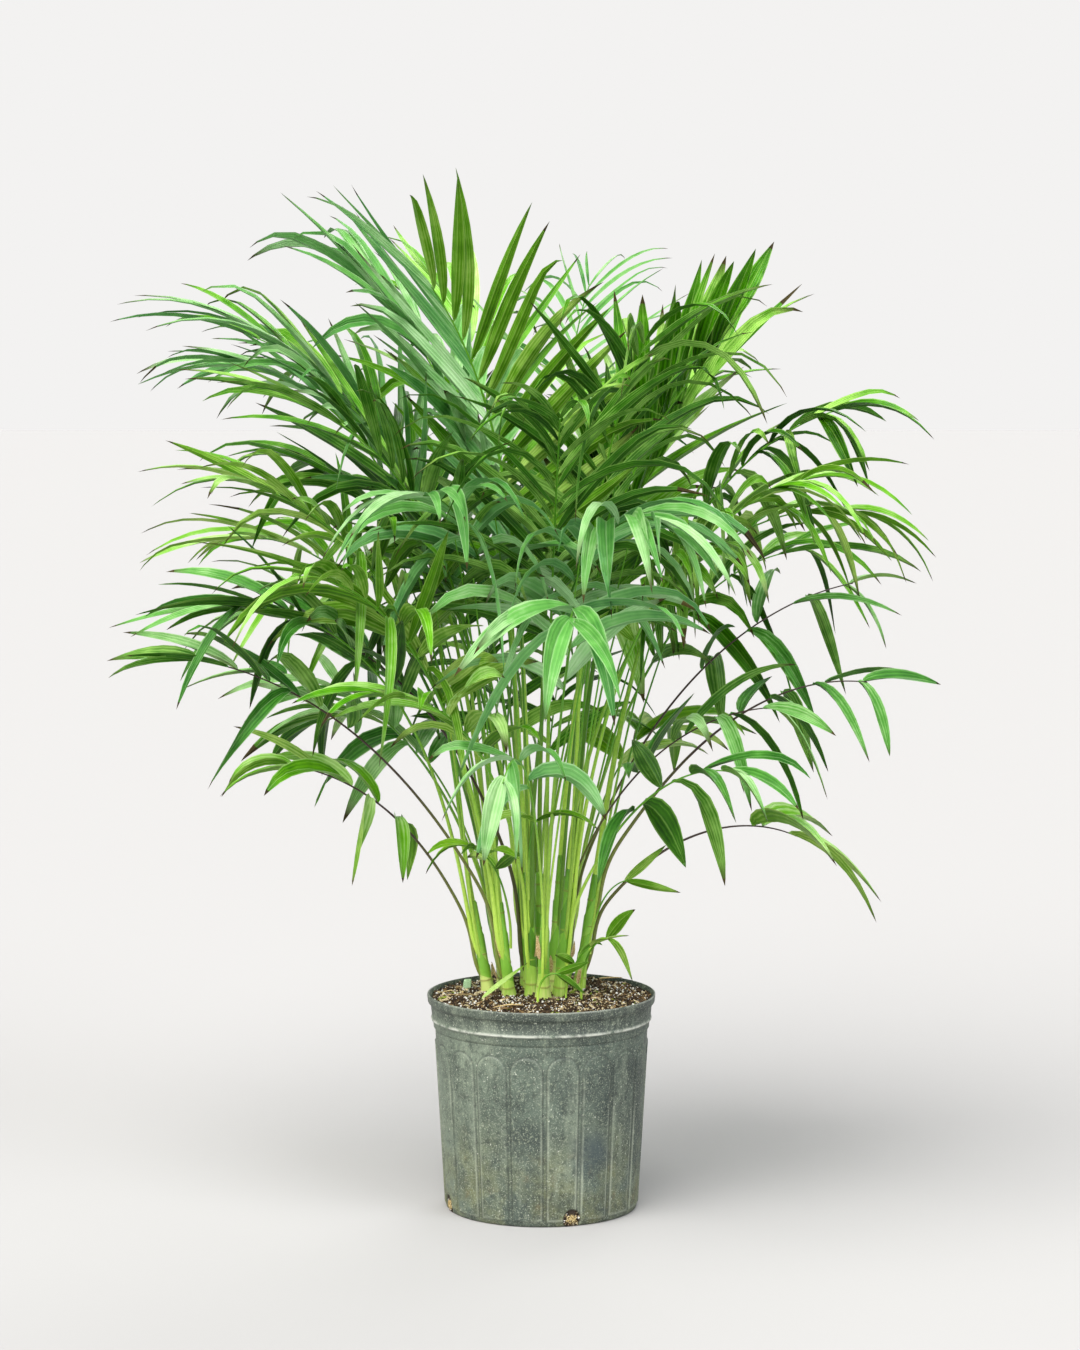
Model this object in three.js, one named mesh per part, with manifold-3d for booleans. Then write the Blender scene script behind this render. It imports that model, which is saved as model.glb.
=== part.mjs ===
// Potted cat palm: a clump of reed-like canes, each carrying three arching feather fronds, in a
// fluted nursery pot of dark plastic. Millimetres and degrees, +Z up. The origin is the centre
// of the pot's flat underside, and the front of the plant faces -Y, with +X to the right.

import * as THREE from "three";
import { mergeVertices } from "three/addons/utils/BufferGeometryUtils.js";
import Module from "manifold-3d";

const wasm = await Module();
wasm.setup();

// Driving dimensions of the pot
const POT_HEIGHT = 241;
const RIM_RADIUS = 127;
const BASE_RADIUS = 107;
const WALL = 2.6;
const FLOOR = 3;
const PANES = 18; // raised arched panes round the wall
const PANE_PROUD = 1.1;
const PANE_TOP = 189;
const PANE_FOOT = 6;
const DRAIN_HOLES = 4;
const DRAIN_BEARING = -72; // the front hole, measured from +X
const DRAIN_RADIUS = 8.5;

// Driving dimensions of the soil and the clump of canes
const SOIL_TOP = 240; // the level spot that the canes stand on
const SOIL_LEVEL_RADIUS = 92;
const SOIL_EDGE_DROP = 7;
const CANES = 14;
const CLUMP_RADIUS = 57;
const CLUMP_CENTRE_X = -5;
const CLUMP_CENTRE_Y = 22;
const GOLDEN_ANGLE = 137.508;
const FIRST_CANE_BEARING = 205;
const CANE_FOOT_RADIUS = 9;
const CANE_RADIUS = 7.2;
const CANE_TIP_RADIUS = 4.6;
const CANE_SIDES = 8;

// Driving dimensions of the fronds
const PETIOLE_RADIUS = 2.7;
const RACHIS_TIP_RADIUS = 1;
const RIB_SIDES = 3;
const PETIOLE_RINGS = 6;
const PATH_STEPS = 60;
const MOST_PAIRS = 8;
const LEAFLET_WIDTH = 21;
const LEAFLET_SLENDER = 90; // length over thickness
const LEAFLET_ROOT = 5; // run of a leaflet's root along the rib
const CLEAR = 0.3; // gap where one piece seats on another
const LEAFLET_CLEAR = 0.9; // gap that a leaflet keeps to what it only passes

const rad = THREE.MathUtils.degToRad;
const UP = new THREE.Vector3(0, 0, 1);

// Small repeatable random numbers from -1 to 1, by the Park-Miller rule.
function dice(seed) {
  let state = (seed * 7919) % 2147483647;
  const roll = () => {
    state = (state * 16807) % 2147483647;
    return (2 * state) / 2147483647 - 1;
  };
  roll();
  roll();
  return roll;
}

const number = (index) => String(index + 1).padStart(2, "0");

function heading(bearing, tilt) {
  return new THREE.Vector3(
    Math.cos(rad(bearing)) * Math.sin(rad(tilt)),
    Math.sin(rad(bearing)) * Math.sin(rad(tilt)),
    Math.cos(rad(tilt)),
  );
}

// A closed surface through rings of points; a ring of one point is a tip.
function loft(rings) {
  const points = rings.flat();
  const faces = [];
  let start = 0;
  for (let r = 0; r + 1 < rings.length; r++) {
    const here = rings[r].length;
    const next = rings[r + 1].length;
    for (let i = 0; i < Math.max(here, next); i++) {
      const a = start + (i % here);
      const b = start + ((i + 1) % here);
      const c = start + here + (i % next);
      const d = start + here + ((i + 1) % next);
      if (here > 1) faces.push(a, b, d);
      if (next > 1) faces.push(a, d, c);
    }
    start += here;
  }
  const first = rings[0].length;
  for (let i = 1; i + 1 < first; i++) faces.push(0, i + 1, i);
  const last = rings[rings.length - 1].length;
  for (let i = 1; i + 1 < last; i++) faces.push(start, start + i, start + i + 1);
  return new THREE.BufferGeometry().setFromPoints(points).setIndex(faces);
}

// A circle of points round a centre, square to the direction, its first point towards "first".
function circle(centre, along, first, radius, sides) {
  const x = first.clone().addScaledVector(along, -first.dot(along)).normalize();
  const y = new THREE.Vector3().crossVectors(along, x).normalize();
  return Array.from({ length: sides }, (_, i) => {
    const turn = (2 * Math.PI * i) / sides;
    return centre
      .clone()
      .addScaledVector(x, radius * Math.cos(turn))
      .addScaledVector(y, radius * Math.sin(turn));
  });
}

function solidOf(geometry) {
  const bare = geometry.clone().deleteAttribute("normal").deleteAttribute("uv");
  const merged = mergeVertices(bare, 1e-4);
  return new wasm.Manifold(
    new wasm.Mesh({
      numProp: 3,
      vertProperties: new Float32Array(merged.attributes.position.array),
      triVerts: new Uint32Array(merged.index.array),
    }),
  );
}

function meshOf(solid, name, material) {
  const { numProp, vertProperties, triVerts } = solid.getMesh();
  const points = [];
  for (let i = 0; i < vertProperties.length; i += numProp)
    points.push(new THREE.Vector3(...vertProperties.slice(i, i + 3)));
  const geometry = new THREE.BufferGeometry()
    .setFromPoints(points)
    .setIndex(Array.from(triVerts))
    .toNonIndexed();
  geometry.computeVertexNormals();
  const mesh = new THREE.Mesh(geometry, material);
  mesh.name = name;
  return mesh;
}

// Materials
const plastic = new THREE.MeshStandardMaterial({ color: 0x5d675d, roughness: 0.55 });
const earth = new THREE.MeshStandardMaterial({ color: 0x4a3c30, roughness: 1 });
const sheath = new THREE.MeshStandardMaterial({ color: 0x8dbb4a, roughness: 0.5 });
const blade = new THREE.MeshStandardMaterial({ color: 0x3f8a34, roughness: 0.45 });

// The pot's outer wall as heights and radii, from the base corner up to the lip: straight
// taper, a shallow step, a bead, the collar and the lip band.
const COLLAR_BASE_RADIUS = RIM_RADIUS - 9;
const OUTER_PROFILE = [
  [0, BASE_RADIUS - 2.5],
  [PANE_FOOT - 2, BASE_RADIUS],
  [PANE_TOP - 12, COLLAR_BASE_RADIUS - 1.2],
  [PANE_TOP, COLLAR_BASE_RADIUS - 0.6],
  [POT_HEIGHT - 40, COLLAR_BASE_RADIUS],
  [POT_HEIGHT - 38, COLLAR_BASE_RADIUS + 1.6],
  [POT_HEIGHT - 30, COLLAR_BASE_RADIUS + 2.2],
  [POT_HEIGHT - 27.5, COLLAR_BASE_RADIUS + 4.4],
  [POT_HEIGHT - 25, COLLAR_BASE_RADIUS + 3.6],
  [POT_HEIGHT - 11, RIM_RADIUS - 3.6],
  [POT_HEIGHT - 9.5, RIM_RADIUS - 1.2],
  [POT_HEIGHT, RIM_RADIUS],
];
// Degrees from a pane's middle; the outer two lie in the groove.
const PANE_EDGES = [-9.2, -8, 8, 9.2];

function innerRadius(z) {
  const low = BASE_RADIUS - WALL;
  const high = COLLAR_BASE_RADIUS - WALL;
  const collar = POT_HEIGHT - 40;
  if (z < collar) return low + ((high - low) * z) / collar;
  return high + ((RIM_RADIUS - WALL - high) * (z - collar)) / (POT_HEIGHT - collar);
}

function pot() {
  const rings = OUTER_PROFILE.map(([z, r], row) => {
    const paned = row === 1 || row === 2;
    return Array.from({ length: PANES * PANE_EDGES.length }, (_, i) => {
      const pane = Math.floor(i / PANE_EDGES.length);
      const edge = i % PANE_EDGES.length;
      const raised = paned && (edge === 1 || edge === 2);
      const radius = r + (raised ? PANE_PROUD : 0);
      const bearing = rad((360 / PANES) * pane + PANE_EDGES[edge]);
      return new THREE.Vector3(radius * Math.cos(bearing), radius * Math.sin(bearing), z);
    });
  });
  const collar = POT_HEIGHT - 40;
  const cavity = new THREE.LatheGeometry(
    [
      new THREE.Vector2(0, FLOOR),
      new THREE.Vector2(innerRadius(FLOOR), FLOOR),
      new THREE.Vector2(innerRadius(collar), collar),
      new THREE.Vector2(innerRadius(POT_HEIGHT + 5), POT_HEIGHT + 5),
      new THREE.Vector2(0, POT_HEIGHT + 5),
    ],
    36,
  ).rotateX(Math.PI / 2);
  let solid = solidOf(loft(rings)).subtract(solidOf(cavity));
  for (let i = 0; i < DRAIN_HOLES; i++) {
    const bearing = rad(DRAIN_BEARING + (360 / DRAIN_HOLES) * i);
    const hole = new THREE.CylinderGeometry(DRAIN_RADIUS, DRAIN_RADIUS, 30, 10)
      .rotateZ(Math.PI / 2)
      .translate(BASE_RADIUS, 0, FLOOR + 4)
      .rotateZ(bearing);
    solid = solid.subtract(solidOf(hole));
  }
  return solid;
}

// The potting mix fills the pot a hair clear of its wall and floor, level under the canes and
// lumpy towards the rim.
function soil() {
  const roll = dice(3);
  const sides = 36;
  const top = SOIL_TOP - SOIL_EDGE_DROP;
  const edge = innerRadius(top) - CLEAR;
  const ring = (radius, z, bump) =>
    Array.from({ length: sides }, (_, i) => {
      const turn = (2 * Math.PI * (i + 0.5)) / sides;
      const reach = radius + (bump ? 2 * roll() : 0);
      return new THREE.Vector3(reach * Math.cos(turn), reach * Math.sin(turn), z + bump * roll());
    });
  const collar = POT_HEIGHT - 40;
  const inset = 1 / Math.cos(Math.PI / sides); // the cavity is faceted, so its flats lie further in
  return solidOf(
    loft([
      ring((innerRadius(FLOOR) - CLEAR) / inset, FLOOR + CLEAR, 0),
      ring((innerRadius(collar) - CLEAR) / inset, collar, 0),
      ring((edge - 1) / inset, top, 0),
      ring((edge + SOIL_LEVEL_RADIUS) / 2, top + 3.5, 1.6),
      ring(SOIL_LEVEL_RADIUS, SOIL_TOP, 0),
    ]),
  );
}

// Where each cane stands, how it leans out from the clump's middle, and how tall it is.
function caneOf(index) {
  const roll = dice(11 + index);
  const out = Math.sqrt((index + 0.35) / CANES);
  const bearing = FIRST_CANE_BEARING + GOLDEN_ANGLE * index;
  const foot = new THREE.Vector3(
    CLUMP_CENTRE_X + CLUMP_RADIUS * out * Math.cos(rad(bearing)),
    CLUMP_CENTRE_Y + CLUMP_RADIUS * out * Math.sin(rad(bearing)),
    SOIL_TOP + CLEAR,
  );
  const along = heading(bearing, 1.5 + 8.5 * out);
  const tall = 165 - 55 * out + 22 * roll();
  return { index, out, bearing, foot, along, tall };
}

function canePoint(cane, share) {
  return cane.foot.clone().addScaledVector(cane.along, cane.tall * share);
}

function caneRadius(share) {
  return CANE_RADIUS + (CANE_TIP_RADIUS - CANE_RADIUS) * share;
}

// How far the faceted cane reaches towards a bearing.
function caneReach(cane, share, bearing) {
  const facet = 360 / CANE_SIDES;
  const turn = ((((bearing - cane.bearing) % facet) + facet) % facet) - facet / 2;
  return (caneRadius(share) * Math.cos(rad(facet / 2))) / Math.cos(rad(turn));
}

function caneSolid(cane) {
  const first = heading(cane.bearing, 90);
  const shares = [0.1, 0.5, 1];
  const footRing = circle(cane.foot, UP, first, CANE_FOOT_RADIUS, CANE_SIDES);
  const rings = shares.map((share) =>
    circle(canePoint(cane, share), cane.along, first, caneRadius(share), CANE_SIDES),
  );
  return solidOf(loft([footRing, ...rings]));
}

// The three fronds of a cane: an old one low on its outer side, a younger one higher up, and
// the youngest at its tip. Lean is the tilt from upright at the cane, arch the tilt at the
// frond's end, sweep says how late it bends, bare is the share of it without leaflets, and
// droop how far its leaflets hang.
const TIERS = [
  {
    name: "low",
    seat: 0.42,
    turn: -14,
    lean: 20,
    arch: 106,
    sweep: 1.7,
    length: 430,
    bare: 0.52,
    leaf: 150,
    droop: 0.9,
    pairs: 6,
  },
  {
    name: "middle",
    seat: 0.74,
    turn: 34,
    lean: 13,
    arch: 88,
    sweep: 2.2,
    length: 580,
    bare: 0.52,
    leaf: 185,
    droop: 0.8,
    pairs: 7,
  },
  {
    name: "top",
    seat: 1,
    turn: -8,
    lean: 5,
    arch: 58,
    sweep: 2.4,
    length: 660,
    bare: 0.5,
    leaf: 215,
    droop: 0.5,
    pairs: 8,
  },
];

// Fronds that stand out in the crown's outline and have a shape of their own.
const SHOWN = {
  frond_01_low: { bearing: 196, lean: 16, arch: 84, length: 520 },
  frond_01_middle: { bearing: 246, arch: 92, length: 600 },
  frond_01_top: { bearing: 166, lean: 2, arch: 51, length: 700, leaf: 225, droop: 0.45 },
  frond_02_low: { bearing: 332, lean: 22, arch: 86, length: 390 },
  frond_02_middle: { bearing: 8, lean: 12, arch: 104, length: 600, leaf: 165 },
  frond_02_top: { bearing: 336, lean: 6, arch: 48, length: 600, leaf: 200, droop: 0.2 },
  frond_04_middle: { bearing: 294, lean: 9, arch: 98, length: 580 },
  frond_04_top: { bearing: 236, lean: 2, arch: 46, length: 660, leaf: 245, droop: 0.12 },
  frond_05_low: { bearing: 14, lean: 20, arch: 82, length: 550, bare: 0.6, leaf: 140, pairs: 6 },
  frond_05_middle: { bearing: 84, sway: 8 },
  frond_05_top: { bearing: 24, lean: 6, arch: 52, length: 600, leaf: 200, droop: 0.3 },
  frond_06_top: { bearing: 172, lean: 8, arch: 72, length: 700, sweep: 2.8 },
  frond_07_low: { bearing: 322, lean: 26, arch: 92, length: 340, leaf: 140, pairs: 5 },
  frond_07_top: { bearing: 300, lean: 3, arch: 54, length: 630, droop: 0.4 },
  frond_08_top: { bearing: 72, lean: 4, arch: 62, length: 740, leaf: 180 },
  frond_09_low: { bearing: 194, lean: 28, arch: 80, length: 500, leaf: 150, bare: 0.6 },
  frond_09_middle: { bearing: 222, lean: 14, arch: 78, length: 500 },
  frond_10_low: {
    bearing: 352,
    lean: 36,
    arch: 116,
    length: 290,
    leaf: 190,
    bare: 0.8,
    droop: 1.4,
    pairs: 2,
  },
  frond_10_middle: { bearing: 0, lean: 33, arch: 98, length: 420, leaf: 160, bare: 0.6, pairs: 5 },
  frond_10_top: { bearing: 350, lean: 9, arch: 76, length: 620, leaf: 180 },
  frond_12_low: { bearing: 262, lean: 18, arch: 116, length: 450, leaf: 130, sway: 0, pairs: 5 },
  frond_12_middle: {
    bearing: 286,
    lean: 10,
    arch: 112,
    sway: -24,
    length: 560,
    leaf: 200,
    droop: 1.1,
  },
  frond_13_low: { bearing: 60 },
  frond_13_middle: { bearing: 28, lean: 16, arch: 92, length: 540 },
  frond_14_low: { bearing: 187, lean: 24, arch: 84, length: 320, leaf: 125, droop: 1.4, pairs: 4 },
  frond_14_middle: { bearing: 206, lean: 13, arch: 95, length: 500, leaf: 170 },
  frond_14_top: { bearing: 183, lean: 5, arch: 88, sweep: 3.2, length: 700, leaf: 165 },
};

// A seedling that has come up beside the clump.
const SPROUT = {
  name: "sprout",
  foot: [27, -38],
  bearing: 320,
  lean: 14,
  arch: 66,
  sweep: 1.5,
  length: 84,
  bare: 0.45,
  leaf: 52,
  droop: 0.5,
  sway: 0,
  pairs: 2,
};

function frondOf(cane, tier, rank) {
  const roll = dice(101 + 3 * cane.index + rank);
  const name = `frond_${number(cane.index)}_${tier.name}`;
  const spread = 1.5 - cane.out; // canes near the middle send their fronds further apart
  const frond = {
    ...tier,
    name,
    cane,
    bearing: cane.bearing + (tier.turn + 9 * roll()) * spread,
    lean: tier.lean * (0.45 + 0.65 * cane.out) + 2 * roll(),
    arch: tier.arch * (0.78 + 0.26 * cane.out) + 9 * roll(),
    length: tier.length * (1.12 - 0.2 * cane.out) * (1 + 0.06 * roll()),
    sway: 14 * roll(),
    roll,
    ...SHOWN[name],
  };
  const away = heading(frond.bearing, 90);
  frond.foot = canePoint(cane, tier.seat);
  if (tier.seat === 1) frond.foot.addScaledVector(cane.along, CLEAR);
  else {
    const side = away.addScaledVector(cane.along, -away.dot(cane.along)).normalize();
    const reach = caneReach(cane, tier.seat, frond.bearing);
    frond.foot.addScaledVector(side, reach + PETIOLE_RADIUS + CLEAR);
  }
  return frond;
}

// The frond's rib: stations along it, each with its direction, its level side direction and
// the upward face of the frond. Tilt grows from the lean at the cane to the arch at the tip.
function ribOf(frond) {
  const at = frond.foot.clone();
  const step = frond.length / PATH_STEPS;
  const stations = [];
  for (let i = 0; i <= PATH_STEPS; i++) {
    const share = i / PATH_STEPS;
    const tilt = frond.lean + (frond.arch - frond.lean) * share ** frond.sweep;
    const bearing = frond.bearing + frond.sway * share * share;
    const free = Math.min(1, share / 0.2);
    const along = frond.cane.along
      .clone()
      .lerp(heading(bearing, tilt), free * free * (3 - 2 * free))
      .normalize();
    const side = heading(bearing + 90, 90);
    side.addScaledVector(along, -side.dot(along)).normalize();
    const face = new THREE.Vector3().crossVectors(along, side).normalize();
    stations.push({ share, at: at.clone(), along, side, face });
    at.addScaledVector(along, step);
  }
  return stations;
}

function ribRadius(share) {
  return PETIOLE_RADIUS + (RACHIS_TIP_RADIUS - PETIOLE_RADIUS) * share;
}

function stationAt(rib, share) {
  const place = share * PATH_STEPS;
  const lower = Math.min(PATH_STEPS - 1, Math.floor(place));
  const mix = (key) => rib[lower][key].clone().lerp(rib[lower + 1][key], place - lower);
  return { at: mix("at"), along: mix("along"), side: mix("side"), face: mix("face") };
}

function pairShare(frond, pair) {
  const end = 1 - LEAFLET_ROOT / frond.length;
  return frond.bare + (end - frond.bare) * ((pair + 0.3) / (frond.pairs - 0.7));
}

// Rings of the rib: plain ones along the petiole, two at each pair of leaflets where their
// roots begin and end, and the tip's.
function ribRings(frond) {
  const half = LEAFLET_ROOT / 2 / frond.length;
  const shares = Array.from({ length: PETIOLE_RINGS }, (_, i) => (frond.bare * i) / PETIOLE_RINGS);
  for (let pair = 0; pair < frond.pairs; pair++)
    shares.push(pairShare(frond, pair) - half, pairShare(frond, pair) + half);
  shares.push(1);
  return shares.map((share) => {
    const station = stationAt(frond.rib, share);
    return circle(station.at, station.along, station.face, ribRadius(share), RIB_SIDES);
  });
}

// A lance-shaped leaflet: it leaves the rib at an angle, stands up a little from the frond's
// plane, and bends down under its own weight. Two cross sections, each a flat underside and a
// ridge, and a point; "extra" swells it all round and "off" starts it clear of the rib.
function leafletRings(frond, pair, side, size, extra, off) {
  const rank = pair / (frond.pairs - 1);
  const station = stationAt(frond.rib, pairShare(frond, pair));
  const lift = rad(22 - 12 * rank);
  const angle = rad(60 - 38 * rank + size.swing);
  const out = station.side.clone().multiplyScalar(side * Math.cos(lift));
  out.addScaledVector(station.face, Math.sin(lift));
  const start = station.along.clone().multiplyScalar(Math.cos(angle));
  start.addScaledVector(out, Math.sin(angle)).normalize();
  const steps = 12;
  const length = size.length + extra;
  const thick = size.length / LEAFLET_SLENDER + 2 * extra;
  const section = (along, centre, half) => {
    const across = new THREE.Vector3().crossVectors(along, station.face).normalize();
    const up = new THREE.Vector3().crossVectors(across, along).normalize();
    const low = centre.clone().addScaledVector(up, -thick / 3);
    return [
      low.clone().addScaledVector(across, -half - extra),
      low.clone().addScaledVector(up, thick),
      low.clone().addScaledVector(across, half + extra),
    ];
  };
  const at = station.at.clone();
  const rings = off ? [section(start, at.clone().addScaledVector(start, off), 2)] : [];
  for (let i = 1; i <= steps; i++) {
    const along = start
      .clone()
      .addScaledVector(UP, -size.droop * (i / steps) ** 1.3)
      .normalize();
    at.addScaledVector(along, length / steps);
    if (i === 4) rings.push(section(along, at, size.width / 2));
    if (i === 8) rings.push(section(along, at, size.width * 0.39));
  }
  rings.push([at]);
  return rings;
}

// The whole frond as one closed skin: the walls of its rib, opened where a leaflet leaves.
function frondSolid(frond) {
  const points = [];
  const faces = [];
  const add = (ring) => ring.map((point) => points.push(point) - 1);
  const rings = ribRings(frond).map(add);
  faces.push(rings[0][0], rings[0][2], rings[0][1]);
  for (let r = 0; r + 1 < rings.length; r++) {
    const [a, b] = [rings[r], rings[r + 1]];
    const pair = (r - PETIOLE_RINGS) / 2;
    const onSide = (side) => frond.leaflets.find((l) => l.pair === pair && l.side === side);
    const walls = [onSide(-1), null, onSide(1)];
    for (let i = 0; i < RIB_SIDES; i++) {
      const j = (i + 1) % RIB_SIDES;
      if (!walls[i]) {
        faces.push(a[i], a[j], b[j], a[i], b[j], b[i]);
        continue;
      }
      const blade = walls[i].rings.map(add);
      const images = i === 0 ? [1, 2, 0, 1] : [0, 1, 1, 2];
      const loop = [a[i], a[j], b[j], b[i]];
      loop.forEach((from, k) => {
        const to = loop[(k + 1) % 4];
        const [here, there] = [images[k], images[(k + 1) % 4]];
        faces.push(from, to, blade[0][there]);
        if (here !== there) faces.push(from, blade[0][there], blade[0][here]);
      });
      for (let k = 0; k < 3; k++) {
        const l = (k + 1) % 3;
        faces.push(blade[0][k], blade[0][l], blade[1][l], blade[0][k], blade[1][l], blade[1][k]);
        faces.push(blade[1][k], blade[1][l], blade[2][0]);
      }
    }
  }
  const last = rings[rings.length - 1];
  faces.push(last[0], last[1], last[2]);
  return solidOf(new THREE.BufferGeometry().setFromPoints(points).setIndex(faces));
}

function boxesMeet(a, b) {
  return [0, 1, 2].every((k) => a.min[k] < b.max[k] && b.min[k] < a.max[k]);
}

// Whether a solid meets any of a list of { solid, box }.
function meets(solid, others) {
  const box = solid.boundingBox();
  const near = others.filter((other) => boxesMeet(box, other.box));
  return near.some((other) => !solid.intersect(other.solid).isEmpty());
}

const boxed = (solid, owner) => ({ owner, solid, box: solid.boundingBox() });

// Leaflets go on pair by pair over the whole plant. One that would meet another frond, a cane
// or a leaflet of its own frond is swung or shortened a little, and left out when no such
// change clears it.
function feather(fronds, taken) {
  const swings = [0, 8, -8, 16, -16];
  const lengths = [1, 0.82, 0.64];
  for (let pair = 0; pair < MOST_PAIRS; pair++)
    for (const frond of fronds) {
      if (pair >= frond.pairs) continue;
      const rank = pair / (frond.pairs - 1);
      for (const side of [-1, 1]) {
        const fullness = 0.66 + 0.34 * Math.sin(Math.PI * (0.12 + 0.78 * rank));
        const length = frond.leaf * fullness * (1 + 0.08 * frond.roll());
        const droop = frond.droop * (1 + 0.4 * frond.roll());
        const broad = LEAFLET_WIDTH * Math.min(1, frond.leaf / 130) * (1 - 0.2 * rank);
        const width = broad * (1 + 0.1 * frond.roll());
        const tries = lengths.flatMap((part) =>
          swings.map((swing) => ({ length: length * part, droop, width, swing })),
        );
        const fits = (size) => {
          const near = solidOf(loft(leafletRings(frond, pair, side, size, 0.1, 6)));
          if (meets(near, taken.filter((other) => other.owner === frond))) return false;
          const wide = solidOf(loft(leafletRings(frond, pair, side, size, LEAFLET_CLEAR, 1)));
          return !meets(wide, taken.filter((other) => other.owner !== frond));
        };
        const size = tries.find(fits);
        if (!size) continue;
        frond.leaflets.push({ pair, side, rings: leafletRings(frond, pair, side, size, 0, 0) });
        taken.push(boxed(solidOf(loft(leafletRings(frond, pair, side, size, 0, 1))), frond));
      }
    }
}

const plant = new THREE.Group();
plant.add(meshOf(pot(), "pot", plastic));
plant.add(meshOf(soil(), "soil", earth));

const canes = Array.from({ length: CANES }, (_, i) => caneOf(i));
const taken = [];
for (const cane of canes) {
  const solid = caneSolid(cane);
  plant.add(meshOf(solid, `cane_${number(cane.index)}`, sheath));
  taken.push(boxed(solid, cane));
}

const fronds = canes.flatMap((cane) => TIERS.map((tier, rank) => frondOf(cane, tier, rank)));
fronds.push({
  ...SPROUT,
  foot: new THREE.Vector3(...SPROUT.foot, SOIL_TOP + CLEAR),
  cane: { along: UP },
  roll: dice(7),
});
for (const frond of fronds) {
  frond.rib = ribOf(frond);
  frond.leaflets = [];
  taken.push(boxed(solidOf(loft(ribRings(frond))), frond));
}
feather(fronds, taken);
for (const frond of fronds) plant.add(meshOf(frondSolid(frond), frond.name, blade));

export default plant;
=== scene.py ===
# %% [markdown]
# # A potted cat palm
# This lesson dresses a small palm in its nursery pot. The frame holds the plain solids of the
# part: a pot, its soil, fourteen canes and forty-two feather fronds. Each of them is replaced
# here by a finer surface in the same place, worked out with numpy as whole arrays.

# %% Frame and tools
import math

import bpy
import numpy as np
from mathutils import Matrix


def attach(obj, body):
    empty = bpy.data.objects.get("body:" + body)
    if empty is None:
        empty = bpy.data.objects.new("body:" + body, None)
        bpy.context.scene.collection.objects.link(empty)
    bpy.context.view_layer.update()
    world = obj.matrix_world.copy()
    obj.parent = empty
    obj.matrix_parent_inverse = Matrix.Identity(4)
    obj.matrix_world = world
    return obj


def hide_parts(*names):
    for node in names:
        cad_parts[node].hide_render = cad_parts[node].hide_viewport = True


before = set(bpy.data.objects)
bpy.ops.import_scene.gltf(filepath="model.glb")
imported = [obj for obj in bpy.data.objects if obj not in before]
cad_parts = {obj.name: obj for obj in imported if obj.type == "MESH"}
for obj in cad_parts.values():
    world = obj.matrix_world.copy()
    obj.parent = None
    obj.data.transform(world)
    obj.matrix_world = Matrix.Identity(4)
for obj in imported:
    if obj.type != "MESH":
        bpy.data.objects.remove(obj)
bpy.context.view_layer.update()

# %% [markdown]
# ## Camera
# The photograph was taken from about four metres away with a long lens, a little above the
# middle of the crown and tilted down, so the pot's rim shows as a flat oval. The focal length
# and the tilt come from the width of that oval and from the pot's height. Depth of field stays
# off, because the whole plant is sharp.

# %% Camera
CAMERA_PLACE = (-0.0016, -4.0, 0.981)  # metres
CAMERA_TILT = 5.5  # degrees below level
SENSOR_SIDE = 36.0  # mm, the longer side
FOCAL_LENGTH = 97.0  # mm

lens = bpy.data.cameras.new("camera")
lens.lens = FOCAL_LENGTH
lens.sensor_width = SENSOR_SIDE
camera = bpy.data.objects.new("camera", lens)
camera.location = CAMERA_PLACE
camera.rotation_euler = (math.radians(90 - CAMERA_TILT), 0, 0)
bpy.context.collection.objects.link(camera)
bpy.context.scene.camera = camera
bpy.context.scene.view_settings.view_transform = "Standard"
print("camera", CAMERA_TILT, "degrees down, lens", FOCAL_LENGTH, "mm")

# %% [markdown]
# ## Colours and nodes
# Colours are written as the hex values that a paint chart or a web page uses. Those are coded
# for a screen, and shaders add up light, so one function turns them to linear. One more small
# function adds a node to a material with its settings and its links.

# %% Colours and nodes
PRODUCT = {"operation": "MULTIPLY"}
PRODUCT_PLUS = {"operation": "MULTIPLY_ADD"}  # the first input times the second, plus the third
CLAMPED = {"clamp": True}
OF_COLOURS = {"data_type": "RGBA"}


def linear(hex_colour):
    """Turns an sRGB hex colour to linear RGBA, by the sRGB curve with its straight toe."""
    code = np.array([int(hex_colour[i : i + 2], 16) for i in (1, 3, 5)]) / 255
    toe = code / 12.92
    curve = ((code + 0.055) / 1.055) ** 2.4
    return (*np.where(code <= 0.04045, toe, curve).tolist(), 1.0)


def add(tree, kind, settings=None, inputs=None, out=0):
    """Adds one node, sets its properties, gives each input a value or a link, and returns one
    of its outputs."""
    made = tree.nodes.new(kind)
    for key, value in (settings or {}).items():
        setattr(made, key, value)
    for key, value in (inputs or {}).items():
        if isinstance(value, bpy.types.NodeSocket):
            tree.links.new(value, made.inputs[key])
        else:
            made.inputs[key].default_value = value
    return made.outputs[out]


def new_material(name, **surface):
    """A material with a Principled shader whose plain values are set on its own sockets."""
    material = bpy.data.materials.new(name)
    material.use_nodes = True
    tree = material.node_tree
    shader = tree.nodes["Principled BSDF"]
    for key, value in surface.items():
        shader.inputs[key.replace("_", " ")].default_value = value
    return material, tree, shader


def stops(ramp, *places):
    """Sets the stops of a colour ramp, given by its output, from (place, hex colour) pairs."""
    elements = ramp.node.color_ramp.elements
    while len(elements) < len(places):
        elements.new(0.5)
    for element, (place, colour) in zip(elements, places):
        element.position = place
        element.color = linear(colour)
    return ramp

# %% [markdown]
# ## Floor and light
# A plain pale floor runs out to the horizon, where the sky has the floor's own brightness, so
# that no line shows between them. Higher up the sky is darker, and it is bright again overhead,
# like the ceiling of a studio: leaves lit only from above and from one side keep their shape.
# Sunlamps light the floor evenly, however far off it is, and a wide angle makes them soft.

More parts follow.
